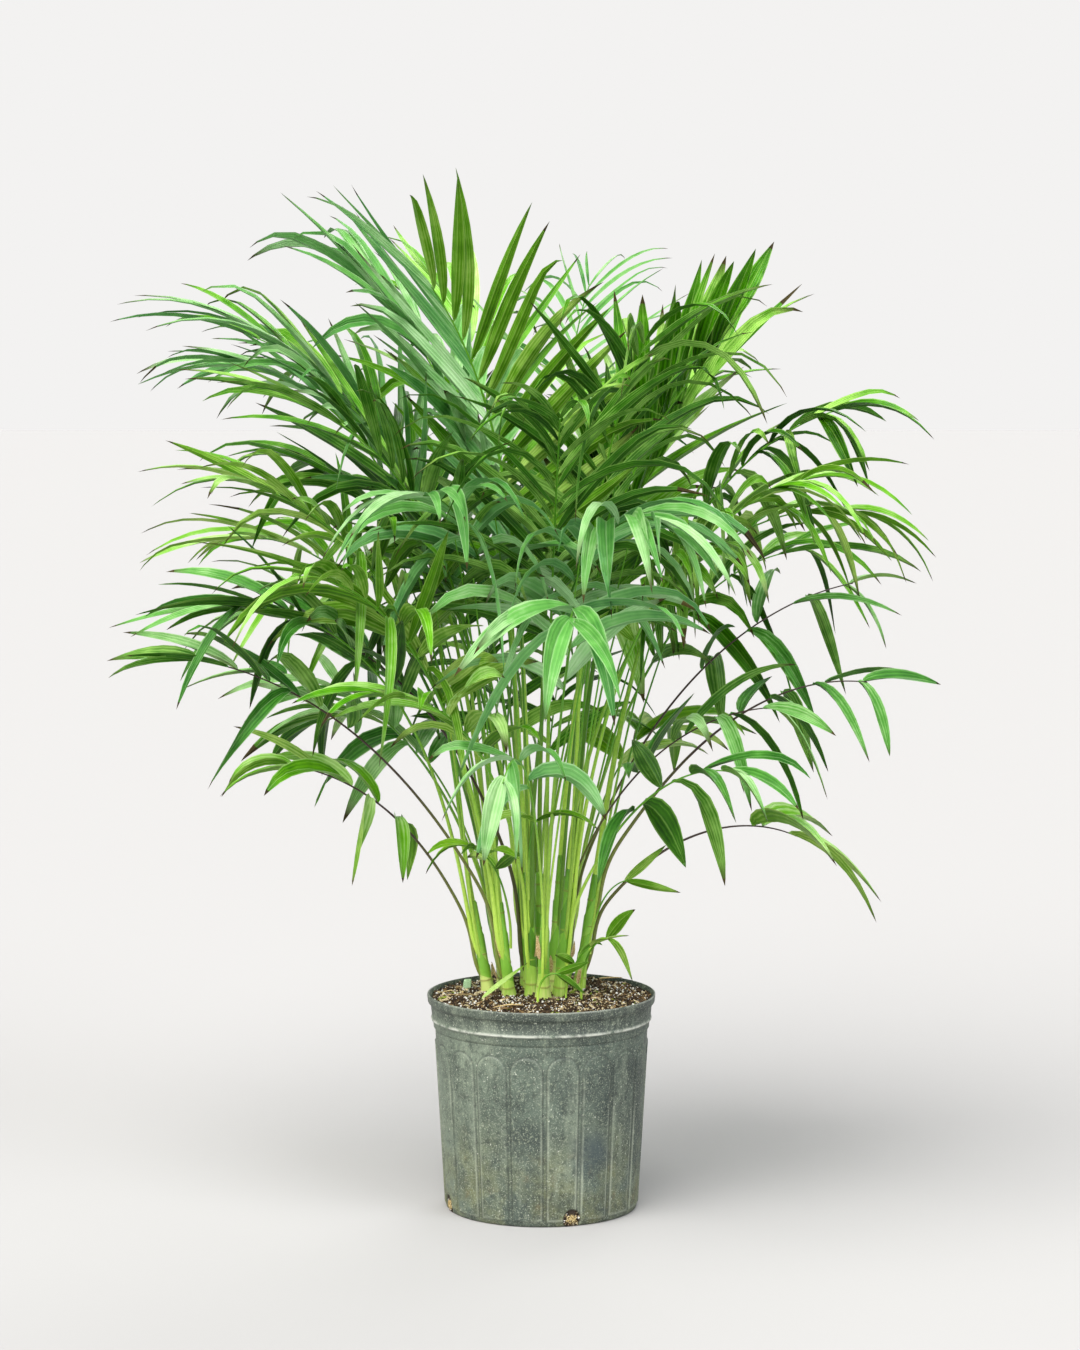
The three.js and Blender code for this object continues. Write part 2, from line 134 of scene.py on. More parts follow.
# %% Floor and light
FLOOR_HALF = 30.0
FLOOR_COLOUR = "#acabab"
SKY_HORIZON = "#f3f2f1"
SKY_MIDDLE = "#686b66"
SKY_TOP = "#cdd0cf"


def sun(name, bearing, tilt, strength, width, colour):
    """A soft sunlamp at a bearing and a tilt from upright, that seems width degrees across."""
    lamp = bpy.data.lights.new(name, "SUN")
    lamp.energy = strength
    lamp.angle = math.radians(width)
    lamp.color = linear(colour)[:3]
    holder = bpy.data.objects.new(name, lamp)
    holder.rotation_euler = (math.radians(tilt), 0, math.radians(bearing + 90))
    bpy.context.collection.objects.link(holder)


ground = bpy.data.meshes.new("floor")
corners = [(x * FLOOR_HALF, y * FLOOR_HALF, 0) for x, y in ((-1, -1), (1, -1), (1, 1), (-1, 1))]
ground.from_pydata(corners, [], [(0, 1, 2, 3)])
floor = bpy.data.objects.new("floor", ground)
bpy.context.collection.objects.link(floor)
floor_paint, _, _ = new_material(
    "studio floor paint", Base_Color=linear(FLOOR_COLOUR), Roughness=0.9, Specular_IOR_Level=0.0
)
ground.materials.append(floor_paint)

world = bpy.data.worlds.new("studio sky")
world.use_nodes = True
bpy.context.scene.world = world
sky = world.node_tree
direction = add(sky, "ShaderNodeTexCoord", out="Generated")
height = add(sky, "ShaderNodeSeparateXYZ", inputs={"Vector": direction}, out="Z")
sky_ramp = add(sky, "ShaderNodeValToRGB", inputs={"Fac": height})
low_bands = (0.0, SKY_HORIZON), (0.1, SKY_HORIZON), (0.2, SKY_MIDDLE)
sky_colour = stops(sky_ramp, *low_bands, (0.6, SKY_MIDDLE), (1.0, SKY_TOP))
sky.links.new(sky_colour, sky.nodes["Background"].inputs["Color"])

sun("key lamp", 238, 38, 5.75, 60, "#fffdfa")
sun("side lamp", 320, 60, 1.5, 40, "#f7f9ff")
sun("back lamp", 70, 50, 1.0, 30, "#ffffff")
print("floor", 2 * FLOOR_HALF, "m wide, three lamps")

# %% [markdown]
# ## From arrays to a mesh
# Every new piece is worked out as whole arrays: its points, and its faces as rows of corner
# numbers. One function puts them into a mesh. Most pieces here are lofts, which are rings of
# points carried along a path, so a second function gives a loft's faces once for any number of
# copies.

# %% From arrays to a mesh
MM = 0.001
SHARP_ANGLE = math.radians(50)  # edges that bend more than this stay sharp


def new_piece(name, points, faces, materials, kinds=None, uv=None, values=None):
    """One mesh from points in millimetres and a list of face arrays, each with its own count
    of corners. kinds is the material number of each face, uv a pair for each point, and values
    named numbers for each point."""
    mesh = bpy.data.meshes.new(name)
    corners = np.concatenate([f.ravel() for f in faces]).astype(np.int32)
    totals = np.concatenate([np.full(len(f), f.shape[1]) for f in faces]).astype(np.int32)
    starts = np.concatenate([[0], np.cumsum(totals)[:-1]]).astype(np.int32)
    mesh.vertices.add(len(points))
    mesh.vertices.foreach_set("co", (np.asarray(points) * MM).astype(np.float32).ravel())
    mesh.loops.add(len(corners))
    mesh.loops.foreach_set("vertex_index", corners)
    mesh.polygons.add(len(totals))
    mesh.polygons.foreach_set("loop_start", starts)
    if kinds is not None:
        mesh.polygons.foreach_set("material_index", np.asarray(kinds, np.int32))
    mesh.update(calc_edges=True)
    mesh.polygons.foreach_set("use_smooth", np.ones(len(totals), bool))
    if uv is not None:
        layer = mesh.uv_layers.new(name="along")
        layer.data.foreach_set("uv", np.asarray(uv, np.float32)[corners].ravel())
    for key, numbers in (values or {}).items():
        layer = mesh.attributes.new(key, "FLOAT", "POINT")
        layer.data.foreach_set("value", numbers.astype(np.float32))
    mesh.set_sharp_from_angle(angle=SHARP_ANGLE)
    for material in materials:
        mesh.materials.append(material)
    piece = bpy.data.objects.new(name, mesh)
    bpy.context.collection.objects.link(piece)
    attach(piece, "root")
    print(name, len(totals), "faces")
    return piece


def loft_faces(copies, rings, sides, pointed):
    """Faces of a number of like lofts, whose points are numbered copy by copy and ring by ring.
    Pointed lofts have one point before the first ring and one after the last; the others are
    closed by a flat face at each end. Returns the quads of all copies, then their ends' faces."""
    side = np.arange(sides)
    beside = (side + 1) % sides
    first = 1 if pointed else 0
    ring = first + sides * np.arange(rings - 1)[:, None]
    quads = np.stack([ring + side, ring + beside, ring + beside + sides, ring + side + sides], -1)
    last = first + sides * (rings - 1)
    if pointed:
        root = np.stack([np.zeros(sides, int), beside + first, side + first], -1)
        tip = np.stack([last + side, last + beside, np.full(sides, last + sides)], -1)
        ends = np.concatenate([root, tip])
        count = sides * rings + 2
    else:
        ends = np.stack([side[::-1], last + side])
        count = sides * rings
    offset = (count * np.arange(copies))[:, None, None]
    quads = quads.reshape(1, -1, 4) + offset
    ends = ends[None] + offset
    return [quads.reshape(-1, 4), ends.reshape(-1, ends.shape[-1])]


# %% [markdown]
# ## How the plant grows
# The canes of the real clump stand in a bunch and lean outwards, and each carries an old frond
# low on its outer side, a younger one higher up and the youngest at its tip. The frame was made
# by a rule from a few sizes. The rule is written again here, with the same repeatable random
# numbers, so that the fine fronds grow exactly where the plain ones are.

# %% Sizes of the plant
SOIL_TOP = 240.0
SOIL_LEVEL_RADIUS = 92.0
SOIL_EDGE_DROP = 7.0
CANES = 14
CLUMP_RADIUS = 57.0
CLUMP_CENTRE = (-5.0, 22.0)
GOLDEN_ANGLE = 137.508
FIRST_CANE_BEARING = 205.0
CANE_LEAN, CANE_LEAN_OUT = 1.5, 8.5  # degrees in the middle, and added towards the edge
CANE_TALL, CANE_SHORTER_OUT = 165, 55  # mm in the middle, and taken off towards the edge
CANE_RADIUS = 7.2
CANE_TIP_RADIUS = 4.6
CANE_FOOT_RADIUS = 9.0
CANE_SIDES = 8
PETIOLE_RADIUS = 2.7
PATH_STEPS = 60
SMOOTH_SHARE = 0.2  # share of the rib over which it leaves the cane's direction
CLEAR = 0.3

# The most that the dice add to each size of a cane and a frond; the length is a share.
CHANCE = dict(tall=22, bearing=9, lean=2, arch=9, length=0.06, sway=14)

# seat is the share of the cane's height, turn is counted from the cane's bearing, lean and arch
# are the tilt from upright at foot and tip, sweep tells how late the rib bends, bare is its share
# without leaflets, and leaf is the length of the longest one. Angles are in degrees.
TIERS = (
    dict(name="low", seat=0.42, turn=-14, lean=20, arch=106, sweep=1.7, length=430,
         bare=0.52, leaf=150, droop=0.9, pairs=6),
    dict(name="middle", seat=0.74, turn=34, lean=13, arch=88, sweep=2.2, length=580,
         bare=0.52, leaf=185, droop=0.8, pairs=7),
    dict(name="top", seat=1.0, turn=-8, lean=5, arch=58, sweep=2.4, length=660,
         bare=0.5, leaf=215, droop=0.5, pairs=8),
)

SHOWN = {
    "frond_01_low": dict(bearing=196, lean=16, arch=84, length=520),
    "frond_01_middle": dict(bearing=246, arch=92, length=600),
    "frond_01_top": dict(bearing=166, lean=2, arch=51, length=700, leaf=225, droop=0.45),
    "frond_02_low": dict(bearing=332, lean=22, arch=86, length=390),
    "frond_02_middle": dict(bearing=8, lean=12, arch=104, length=600, leaf=165),
    "frond_02_top": dict(bearing=336, lean=6, arch=48, length=600, leaf=200, droop=0.2),
    "frond_04_middle": dict(bearing=294, lean=9, arch=98, length=580),
    "frond_04_top": dict(bearing=236, lean=2, arch=46, length=660, leaf=245, droop=0.12),
    "frond_05_low": dict(bearing=14, lean=20, arch=82, length=550, bare=0.6, leaf=140, pairs=6),
    "frond_05_middle": dict(bearing=84, sway=8),
    "frond_05_top": dict(bearing=24, lean=6, arch=52, length=600, leaf=200, droop=0.3),
    "frond_06_top": dict(bearing=172, lean=8, arch=72, length=700, sweep=2.8),
    "frond_07_low": dict(bearing=322, lean=26, arch=92, length=340, leaf=140, pairs=5),
    "frond_07_top": dict(bearing=300, lean=3, arch=54, length=630, droop=0.4),
    "frond_08_top": dict(bearing=72, lean=4, arch=62, length=740, leaf=180),
    "frond_09_low": dict(bearing=194, lean=28, arch=80, length=500, leaf=150, bare=0.6),
    "frond_09_middle": dict(bearing=222, lean=14, arch=78, length=500),
    "frond_10_low": dict(bearing=352, lean=36, arch=116, length=290, leaf=190, bare=0.8,
                         droop=1.4, pairs=2),
    "frond_10_middle": dict(bearing=0, lean=33, arch=98, length=420, leaf=160, bare=0.6, pairs=5),
    "frond_10_top": dict(bearing=350, lean=9, arch=76, length=620, leaf=180),
    "frond_12_low": dict(bearing=262, lean=18, arch=116, length=450, leaf=130, sway=0, pairs=5),
    "frond_12_middle": dict(bearing=286, lean=10, arch=112, sway=-24, length=560, leaf=200,
                            droop=1.1),
    "frond_13_low": dict(bearing=60),
    "frond_13_middle": dict(bearing=28, lean=16, arch=92, length=540),
    "frond_14_low": dict(bearing=187, lean=24, arch=84, length=320, leaf=125, droop=1.4, pairs=4),
    "frond_14_middle": dict(bearing=206, lean=13, arch=95, length=500, leaf=170),
    "frond_14_top": dict(bearing=183, lean=5, arch=88, sweep=3.2, length=700, leaf=165),
}  # fronds that stand out in the crown have some sizes of their own

SPEARS_A_CANE = 2
SPEAR_SEAT = 0.6  # share of the cane's height
SPEAR_OUT = 5.5  # mm from the cane's axis
SPEAR = dict(lean=3, arch=24, sweep=1.5, length=430, sway=0)  # a leaf that is still folded shut

SPROUT = dict(name="sprout", foot=(27, -38), bearing=320, lean=14, arch=66, sweep=1.5, length=84,
              bare=0.45, leaf=52, droop=0.5, sway=0, pairs=2)

OFFSHOOTS = (
    dict(name="shoot_left", foot=(-34, -22, 300), bearing=238, lean=10, arch=78, sweep=1.6,
         length=150, bare=0.55, leaf=82, droop=0.9, sway=0, pairs=3),
    dict(name="shoot_front", foot=(-14, -34, 356), bearing=284, lean=3, arch=95, sweep=3.0,
         length=104, bare=0.9, leaf=96, droop=1.7, sway=0, pairs=1, rank=0.0),
    dict(name="shoot_right", foot=(54, -12, 292), bearing=340, lean=14, arch=84, sweep=2.8,
         length=98, bare=0.92, leaf=74, droop=0.25, sway=0, pairs=1, roll=-88, rank=0.85),
    dict(name="shoot_low", foot=(44, -26, 244), bearing=325, lean=8, arch=95, sweep=2.4, length=84,
         bare=0.9, leaf=56, droop=0.5, sway=0, pairs=1, roll=-70, rank=0.4),
    dict(name="shoot_foot", foot=(-4, -50, 244), bearing=345, lean=8, arch=118, sweep=1.8, length=44,
         bare=0.9, leaf=46, droop=0.2, sway=0, pairs=1, roll=-88, rank=0.85),
)  # small young fronds low on the canes, too slight to be solids of their own
print(CANES, "canes with", len(TIERS), "fronds each,", len(SHOWN), "of them with their own sizes")

# %% Random numbers and directions
UP = np.array([0.0, 0.0, 1.0])
PRIME = 2**31 - 1


class Dice:
    """Repeatable numbers from -1 to 1: each state is the last one times 16807, modulo a prime."""

    def __init__(self, seed):
        self.state = seed * 7919 % PRIME
        self()
        self()

    def __call__(self):
        self.state = self.state * 16807 % PRIME
        return 2 * self.state / PRIME - 1


def heading(bearing, tilt):
    """Unit vectors at a bearing from +X and a tilt from upright, in degrees."""
    b, t = np.radians(bearing), np.radians(tilt)
    return np.stack([np.cos(b) * np.sin(t), np.sin(b) * np.sin(t), np.cos(t) + 0 * b], -1)


def unit(v):
    """Vectors divided by their length."""
    return v / np.linalg.norm(v, axis=-1, keepdims=True)


def smooth_step(x):
    """0 below 0, 1 above 1, and 3x^2 - 2x^3 between."""
    x = np.clip(x, 0, 1)
    return x * x * (3 - 2 * x)

# %% The growing rule
def grow_cane(index):
    """A cane stands on a sunflower spiral and leans the more, the further out it stands."""
    roll = Dice(11 + index)
    out = math.sqrt((index + 0.35) / CANES)
    bearing = FIRST_CANE_BEARING + GOLDEN_ANGLE * index
    foot = np.array([*CLUMP_CENTRE, SOIL_TOP + CLEAR]) + CLUMP_RADIUS * out * heading(bearing, 90)
    foot[2] = SOIL_TOP + CLEAR
    along = heading(bearing, CANE_LEAN + CANE_LEAN_OUT * out)
    tall = CANE_TALL - CANE_SHORTER_OUT * out + CHANCE["tall"] * roll()
    return dict(index=index, out=out, bearing=bearing, foot=foot, along=along, tall=tall)


def cane_reach(cane, share, bearing):
    """How far the faceted cane of the frame reaches towards a bearing."""
    facet = 360 / CANE_SIDES
    turn = (bearing - cane["bearing"]) % facet - facet / 2
    radius = CANE_RADIUS + (CANE_TIP_RADIUS - CANE_RADIUS) * share
    return radius * math.cos(math.radians(facet / 2)) / math.cos(math.radians(turn))


def grow_frond(cane, tier, rank):
    """A frond's sizes: its tier's, changed by the cane's place and by the dice. On the outer
    canes fronds lean and arch more and are shorter."""
    roll = Dice(101 + 3 * cane["index"] + rank)
    name = f"frond_{cane['index'] + 1:02d}_{tier['name']}"
    spread = 1.5 - cane["out"]
    frond = dict(
        tier,
        name=name,
        cane=cane,
        bearing=cane["bearing"] + (tier["turn"] + CHANCE["bearing"] * roll()) * spread,
        lean=tier["lean"] * (0.45 + 0.65 * cane["out"]) + CHANCE["lean"] * roll(),
        arch=tier["arch"] * (0.78 + 0.26 * cane["out"]) + CHANCE["arch"] * roll(),
        length=tier["length"] * (1.12 - 0.2 * cane["out"]) * (1 + CHANCE["length"] * roll()),
        sway=CHANCE["sway"] * roll(),
    )
    frond.update(SHOWN.get(name, {}))
    away = heading(frond["bearing"], 90)
    frond["foot"] = cane["foot"] + cane["along"] * cane["tall"] * tier["seat"]
    if tier["seat"] == 1:
        frond["foot"] = frond["foot"] + cane["along"] * CLEAR
    else:
        side = unit(away - cane["along"] * (away @ cane["along"]))
        reach = cane_reach(cane, tier["seat"], frond["bearing"])
        frond["foot"] = frond["foot"] + side * (reach + PETIOLE_RADIUS + CLEAR)
    return frond


def rib_path(frond):
    """The rib's stations. Its tilt from upright grows from lean to arch as the share along it to
    the power of sweep, its bearing turns by sway as the share squared, and near its foot it
    leaves the cane's own direction by a smooth step. Side and face are square to it, and turned
    about it by roll."""
    share = np.linspace(0, 1, PATH_STEPS + 1)
    tilt = frond["lean"] + (frond["arch"] - frond["lean"]) * share ** frond["sweep"]
    bearing = frond["bearing"] + frond["sway"] * share**2
    smooth = smooth_step(share / SMOOTH_SHARE)[:, None]
    along = unit(frond["cane"]["along"] * (1 - smooth) + heading(bearing, tilt) * smooth)
    side = heading(bearing + 90, 90 + 0 * bearing)
    side = unit(side - along * (side * along).sum(-1, keepdims=True))
    face = unit(np.cross(along, side))
    roll = math.radians(frond.get("roll", 0))
    ahead, aside = math.cos(roll), math.sin(roll)
    side, face = side * ahead + face * aside, face * ahead - side * aside
    steps = along[:-1] * frond["length"] / PATH_STEPS
    at = frond["foot"] + np.concatenate([np.zeros((1, 3)), np.cumsum(steps, 0)])
    return dict(share=share, at=at, along=along, side=side, face=face)

# %% Growing all the ribs
canes = [grow_cane(i) for i in range(CANES)]
fronds = [grow_frond(cane, tier, rank) for cane in canes for rank, tier in enumerate(TIERS)]
sprout = dict(SPROUT, foot=np.array([*SPROUT["foot"], SOIL_TOP + CLEAR]), cane=dict(along=UP))
shoots = [
    dict(shoot, foot=np.array(shoot["foot"], float), cane=dict(along=UP)) for shoot in OFFSHOOTS
]


def grow_spear(cane, number):
    """A leaf still shut, upright: a bare rod from the side of its cane."""
    roll = Dice(701 + cane["index"] + 50 * number)
    bearing = cane["bearing"] + 70 * roll()
    foot = cane["foot"] + cane["along"] * cane["tall"] * SPEAR_SEAT
    foot = foot + heading(bearing, 90) * SPEAR_OUT
    lean = SPEAR["lean"] + 9 * cane["out"] + 3 * roll()
    length = SPEAR["length"] * (1 + 0.25 * roll())
    place = dict(name="spear", cane=cane, seat=SPEAR_SEAT, foot=foot, bearing=bearing)
    return {**SPEAR, **place, "lean": lean, "length": length}


spears = [grow_spear(cane, number) for cane in canes for number in range(SPEARS_A_CANE)]
for frond in [*fronds, sprout, *shoots, *spears]:
    frond["rib"] = rib_path(frond)
tips = np.array([frond["rib"]["at"][-1] for frond in fronds])
print("rib tips reach", tips.min(0).round(), "to", tips.max(0).round(), "mm")

# %% [markdown]
# ## Where the leaflets sit
# A palm's leaflets, its pinnae, stand in two rows on the rib, lean towards its tip and droop
# with their weight. The plain fronds have few of them. Here the fronds higher up carry up to
# twice as many, set by the same rule: the angle to the rib closes towards the tip, the middle
# ones are the longest, and each differs a little from its neighbours. Some curl at the end or
# hang straight down. Fronds that stand out have a look of their own, such as the two at the top
# right, whose leaflets stand upright like a comb. All leaflets of the plant are listed in one
# table of arrays, one row for each.

# %% Where the leaflets sit
FINER = {"low": 1.0, "middle": 1.65, "top": 2.0}  # times as many pairs as the plain frond has
HANGING = {"low": 0.12, "middle": 0.08, "top": 0.03}  # share of leaflets that hang straight down
ROOT_ON_RIB = 5.0  # mm from the tip of the rib to its last pair
LEAFLET_WIDTH = 18.0
ANGLE_FOOT, ANGLE_TIP = 60, 22  # degrees between a leaflet and the rib, for its first and last pair
LIFT_FOOT, LIFT_TIP = 22, 10  # degrees that they are lifted off the frond's plane

# broad, long, weak and finer multiply the width, the length, the droop and the number of pairs.
# wild multiplies the random parts, curled and hanging are shares of the leaflets, raised lifts the
# first pairs by degrees, and upright pulls all of them towards the vertical.
PLAIN_LOOK = dict(broad=0.9, long=1, weak=0.95, curled=0.3, wild=1.3, raised=0, upright=0)
LOOKS = {
    "01_low": dict(broad=1.3, weak=0.55),
    "01_middle": dict(broad=1.0, weak=1.4, curled=0.5),
    "01_top": dict(broad=1.35, long=0.88, weak=1.35),
    "02_low": dict(broad=1.25, finer=0.7, weak=0.8, hanging=0.4),
    "02_middle": dict(weak=1.7, long=0.92, curled=0.5),
    "02_top": dict(broad=1.8, long=0.84, wild=0.8, finer=1.4, weak=0.7, raised=55, upright=0.8),
    "03_middle": dict(weak=1.2, curled=0.5),
    "04_low": dict(broad=1.2),
    "04_middle": dict(broad=1.1, weak=1.5, curled=0.5),
    "04_top": dict(broad=1.05, long=0.95, wild=0.4, finer=1.75),
    "05_low": dict(broad=1.0, finer=0.75, weak=0.8, hanging=0.5),
    "05_middle": dict(broad=0.8),
    "05_top": dict(broad=1.3, finer=1.3, weak=0.8, raised=35, upright=0.35),
    "06_low": dict(broad=1.1, weak=0.7),
    "06_middle": dict(weak=1.0),
    "06_top": dict(broad=0.85, weak=1.3),
    "07_low": dict(broad=1.35, finer=0.8, weak=0.8, hanging=0.4),
    "07_middle": dict(weak=1.7, long=0.85),
    "07_top": dict(broad=0.8, weak=2.2, curled=0.6),
    "08_middle": dict(broad=0.65, weak=1.6),
    "08_top": dict(broad=0.42, weak=1.4),
    "09_low": dict(broad=1.2, weak=0.5, wild=1.5),
    "09_middle": dict(broad=1.1),
    "10_low": dict(broad=2.2, weak=0.8, wild=0.3, curled=0, hanging=0),
    "10_middle": dict(broad=1.3, long=0.85, finer=0.85, weak=0.8, hanging=0.5),
    "10_top": dict(broad=0.95, long=0.8, weak=2.6, curled=0.5, hanging=0.5),
    "11_low": dict(broad=1.2),
    "11_top": dict(broad=0.85),
    "12_low": dict(broad=1.3, finer=0.9, hanging=0.45),
    "12_middle": dict(broad=1.55, finer=0.9),
    "12_top": dict(broad=0.8, weak=2.0, curled=0.6),
    "13_low": dict(broad=1.7, finer=0.7, wild=0.7),
    "13_middle": dict(weak=1.3, finer=1.1, hanging=0.2),
    "13_top": dict(broad=1.5, finer=1.4),
    "14_low": dict(broad=1.45, finer=1.25, weak=0.65, hanging=0.5),
    "14_middle": dict(broad=1.1, weak=0.5, wild=1.6),
    "14_top": dict(broad=0.8, weak=1.3),
    "sprout": dict(broad=1.5, wild=0.8),
    "shoot_left": dict(broad=1.4),
    "shoot_front": dict(broad=1.25, wild=0.4),
    "shoot_right": dict(broad=1.25, wild=0.4),
    "shoot_low": dict(broad=2.2, wild=0.3),
    "shoot_foot": dict(broad=2.0, wild=0.3),
}

# %% Placing them
def at_share(rib, key, share):
    """A rib's station values between its steps, by straight lines from step to step."""
    return np.stack([np.interp(share, rib["share"], rib[key][:, k]) for k in range(3)], -1)


def short_name(frond):
    """A frond's name as the tables of looks and greens have it."""
    return frond["name"].removeprefix("frond_")


def seat_leaflets(number, frond):
    """Rows for one frond's leaflets. A pair at rank 0 to 1 leaves the rib at an angle and a lift
    that run evenly from those of the foot to those of the tip, and is longest where
    sin(pi (0.12 + 0.78 rank)) peaks. A raised frond lifts the pairs near its foot, and an upright
    one adds a part of the vertical to where they start. One pair alone takes the frond's own rank.
    The random parts come from a generator seeded by the frond's number."""
    luck = np.random.default_rng(900 + number)
    tier = frond["name"].split("_")[-1]
    look = dict(PLAIN_LOOK, finer=FINER.get(tier, 1), hanging=HANGING.get(tier, 0))
    look.update(LOOKS.get(short_name(frond), {}))
    pairs = round(frond["pairs"] * look["finer"])
    count = 2 * pairs
    pair = np.repeat(np.arange(pairs), 2)
    side = np.tile([-1.0, 1.0], pairs)
    rank = pair / (pairs - 1) if pairs > 1 else np.full(2, frond["rank"])
    end = 1 - ROOT_ON_RIB / frond["length"]
    share = frond["bare"] + (end - frond["bare"]) * (pair + 0.3 + 0.14 * side) / (pairs - 0.7)
    share = np.minimum(share, end)
    rib = frond["rib"]
    along, out, face = (at_share(rib, key, share) for key in ("along", "side", "face"))
    stray = lambda spread: spread * look["wild"] * luck.uniform(-1, 1, count)
    raised = math.radians(look["raised"])
    lift = raised * (1 - rank) + np.radians(LIFT_FOOT + (LIFT_TIP - LIFT_FOOT) * rank + stray(15))
    angle = np.radians(ANGLE_FOOT + (ANGLE_TIP - ANGLE_FOOT) * rank + stray(9))[:, None]
    away = out * (side * np.cos(lift))[:, None] + face * np.sin(lift)[:, None]
    full = 0.66 + 0.34 * np.sin(math.pi * (0.12 + 0.78 * rank))
    slim = min(1, frond["leaf"] / 130)
    turned_up = math.radians(14) * side + 1.6 * raised
    return dict(
        frond=np.full(count, number),
        base=at_share(rib, "at", share),
        start=unit(along * np.cos(angle) + away * np.sin(angle) + UP * look["upright"]),
        face=face,
        length=frond["leaf"] * full * look["long"] * (1 + stray(0.1)),
        width=LEAFLET_WIDTH * look["broad"] * slim * (1 - 0.3 * rank) * (1 + stray(0.22)),
        droop=frond["droop"] * look["weak"] * np.exp(0.5 * luck.normal(0, 1, count)),
        bow=0.16 * luck.normal(0, 1, count) - 0.1 * side,
        twist=math.radians(26) * look["wild"] * luck.normal(0, 1, count) + turned_up,
        curl=luck.uniform(0.3, 1.5, count) * (luck.random(count) < look["curled"]),
        dry=luck.random(count),
        tone=luck.uniform(-1, 1, count),
        shift=luck.uniform(-1, 1, count),
        hang=luck.uniform(1.2, 2.6, count) * (luck.random(count) < look["hanging"]),
    )


growths = [*fronds, sprout, *shoots]
tables = [seat_leaflets(number, frond) for number, frond in enumerate(growths)]
leaflets = {key: np.concatenate([table[key] for table in tables]) for key in tables[0]}
print(len(leaflets["frond"]), "leaflets, longest", round(leaflets["length"].max()), "mm")

# %% [markdown]
# ## The shape of a leaflet
# Each leaflet is a long lance with a fold along its midrib and a pleat on either side, and it
# bends down and twists a little as it goes. A strip with a picture of a leaf would be quick,
# but it would look flat from near by, so each one is a thin closed blade of sixty faces: nine
# cross-sections of six points between the root and the tip.

# %% The shape of a leaflet
BLADE_STEPS = 32
BLADE_RINGS = np.array([1, 3, 6, 10, 14, 18, 22, 26, 30])
BLADE_SIDES = 6
BLADE_THICKNESS = 0.7  # mm under the midrib
FOLD_ROOT, FOLD_TIP = 38, 14  # degrees that each half stands up from flat
CURL_FROM = 0.62  # share of the length


def grow_blades(rows):
    """Points, UV and tone of many leaflets. The midrib starts along start and bends down by droop
    times t^1.3, where t runs from 0 at the root to 1 at the tip. It bends more past 0.62 where the
    leaflet curls, by hang times t^0.35 where it is limp from its root, and sideways by bow. Its
    half width is a lance, sin(pi t^0.7)^0.85. The section at u from 1 to -1 stands tan(fold) |u|
    high, and the pleats at half way stand a little over that line."""
    count = len(rows["frond"])
    t = (np.arange(BLADE_STEPS + 1) / BLADE_STEPS)[None, :, None]
    column = lambda key: rows[key][:, None, None]
    start, face = rows["start"][:, None], rows["face"][:, None]
    wide = unit(np.cross(face, start))
    fall = column("droop") * t**1.3 + column("curl") * 2.2 * np.clip(t - CURL_FROM, 0, 1) ** 1.2
    fall = fall + column("hang") * t**0.35
    along = unit(start - UP * fall + wide * column("bow") * t**1.5)
    wide = unit(np.cross(face, along))
    up = np.cross(along, wide)
    turn = column("twist") * (0.35 + t)
    wide, up = wide * np.cos(turn) + up * np.sin(turn), up * np.cos(turn) - wide * np.sin(turn)
    steps = along[:, :-1] * column("length") / BLADE_STEPS
    at = rows["base"][:, None] + np.concatenate([np.zeros((count, 1, 3)), np.cumsum(steps, 1)], 1)
    share = BLADE_RINGS / BLADE_STEPS
    half = rows["width"][:, None] / 2 * np.sin(math.pi * share**0.7) ** 0.85
    fold = np.tan(np.radians(FOLD_ROOT + (FOLD_TIP - FOLD_ROOT) * share))
    u = np.array([1, 0.5, 0, -0.5, -1, 0])
    high = np.abs(u) * fold[:, None] + np.array([0, 0.07, 0, 0.07, 0, 0])
    sections = half[:, :, None] * u, half[:, :, None] * high
    sections[1][:, :, 5] -= BLADE_THICKNESS
    ring = (
        at[:, BLADE_RINGS, None]
        + sections[0][..., None] * wide[:, BLADE_RINGS, None]
        + sections[1][..., None] * up[:, BLADE_RINGS, None]
    )
    points = np.concatenate([at[:, :1], ring.reshape(count, -1, 3), at[:, -1:]], 1)
    across = np.concatenate([[0.5], np.tile((u + 1) / 2, len(share)), [0.5]])
    length = np.concatenate([[0], np.repeat(share, BLADE_SIDES), [1]])
    uv = np.tile(np.stack([across, length], -1), (count, 1))
    tone = rows["tone"][:, None] + rows["shift"][:, None] * (length - 0.5) * 1.4
    return points.reshape(-1, 3), uv, tone.ravel()


# %% [markdown]
# ## Leaf finishes
# A palm leaf has a smooth, slightly waxy skin with fine veins along it. New leaflets are a
# yellow green and grown ones a green. The inner fronds are a deep green, a painted shade for the
# inside of the crown, and the old ones a little bluer and darker, a painted shade under it. On
# some a pale bloom of wax makes the upper side blue-green, and part of that is a painted sheen
# of the sky. The midrib is paler, and the margins are painted paler as a highlight. The underside
# is dull, and on the green fronds darker as a painted shade. Each tip turns olive with age. The
# outermost points of many leaflets have dried to a brown, papery tip. Each of these is a plain
# colour of its own with veins and faint blotches over it, and every frond is dealt one of the
# greens.

# %% Leaf finishes
LEAF_IOR = 1.45
VEINS = 6  # across a leaflet 18 mm wide, so about 3 mm apart, coarser than the real ones
BLOTCHES = 38.0  # in a metre, so each is about 26 mm across
AGED_TIP = "#3a3316"
MARGIN_HIGHLIGHT = {"From Min": 0.41, "From Max": 0.5, "To Max": 0.65}  # a painted highlight along the margins: its paleness, by the way across
MIDRIB = {"From Min": 0.05, "From Max": 0.0, "To Max": 0.45}
AGED = {"From Min": 0.85, "From Max": 1.04}  # its share, by the way along


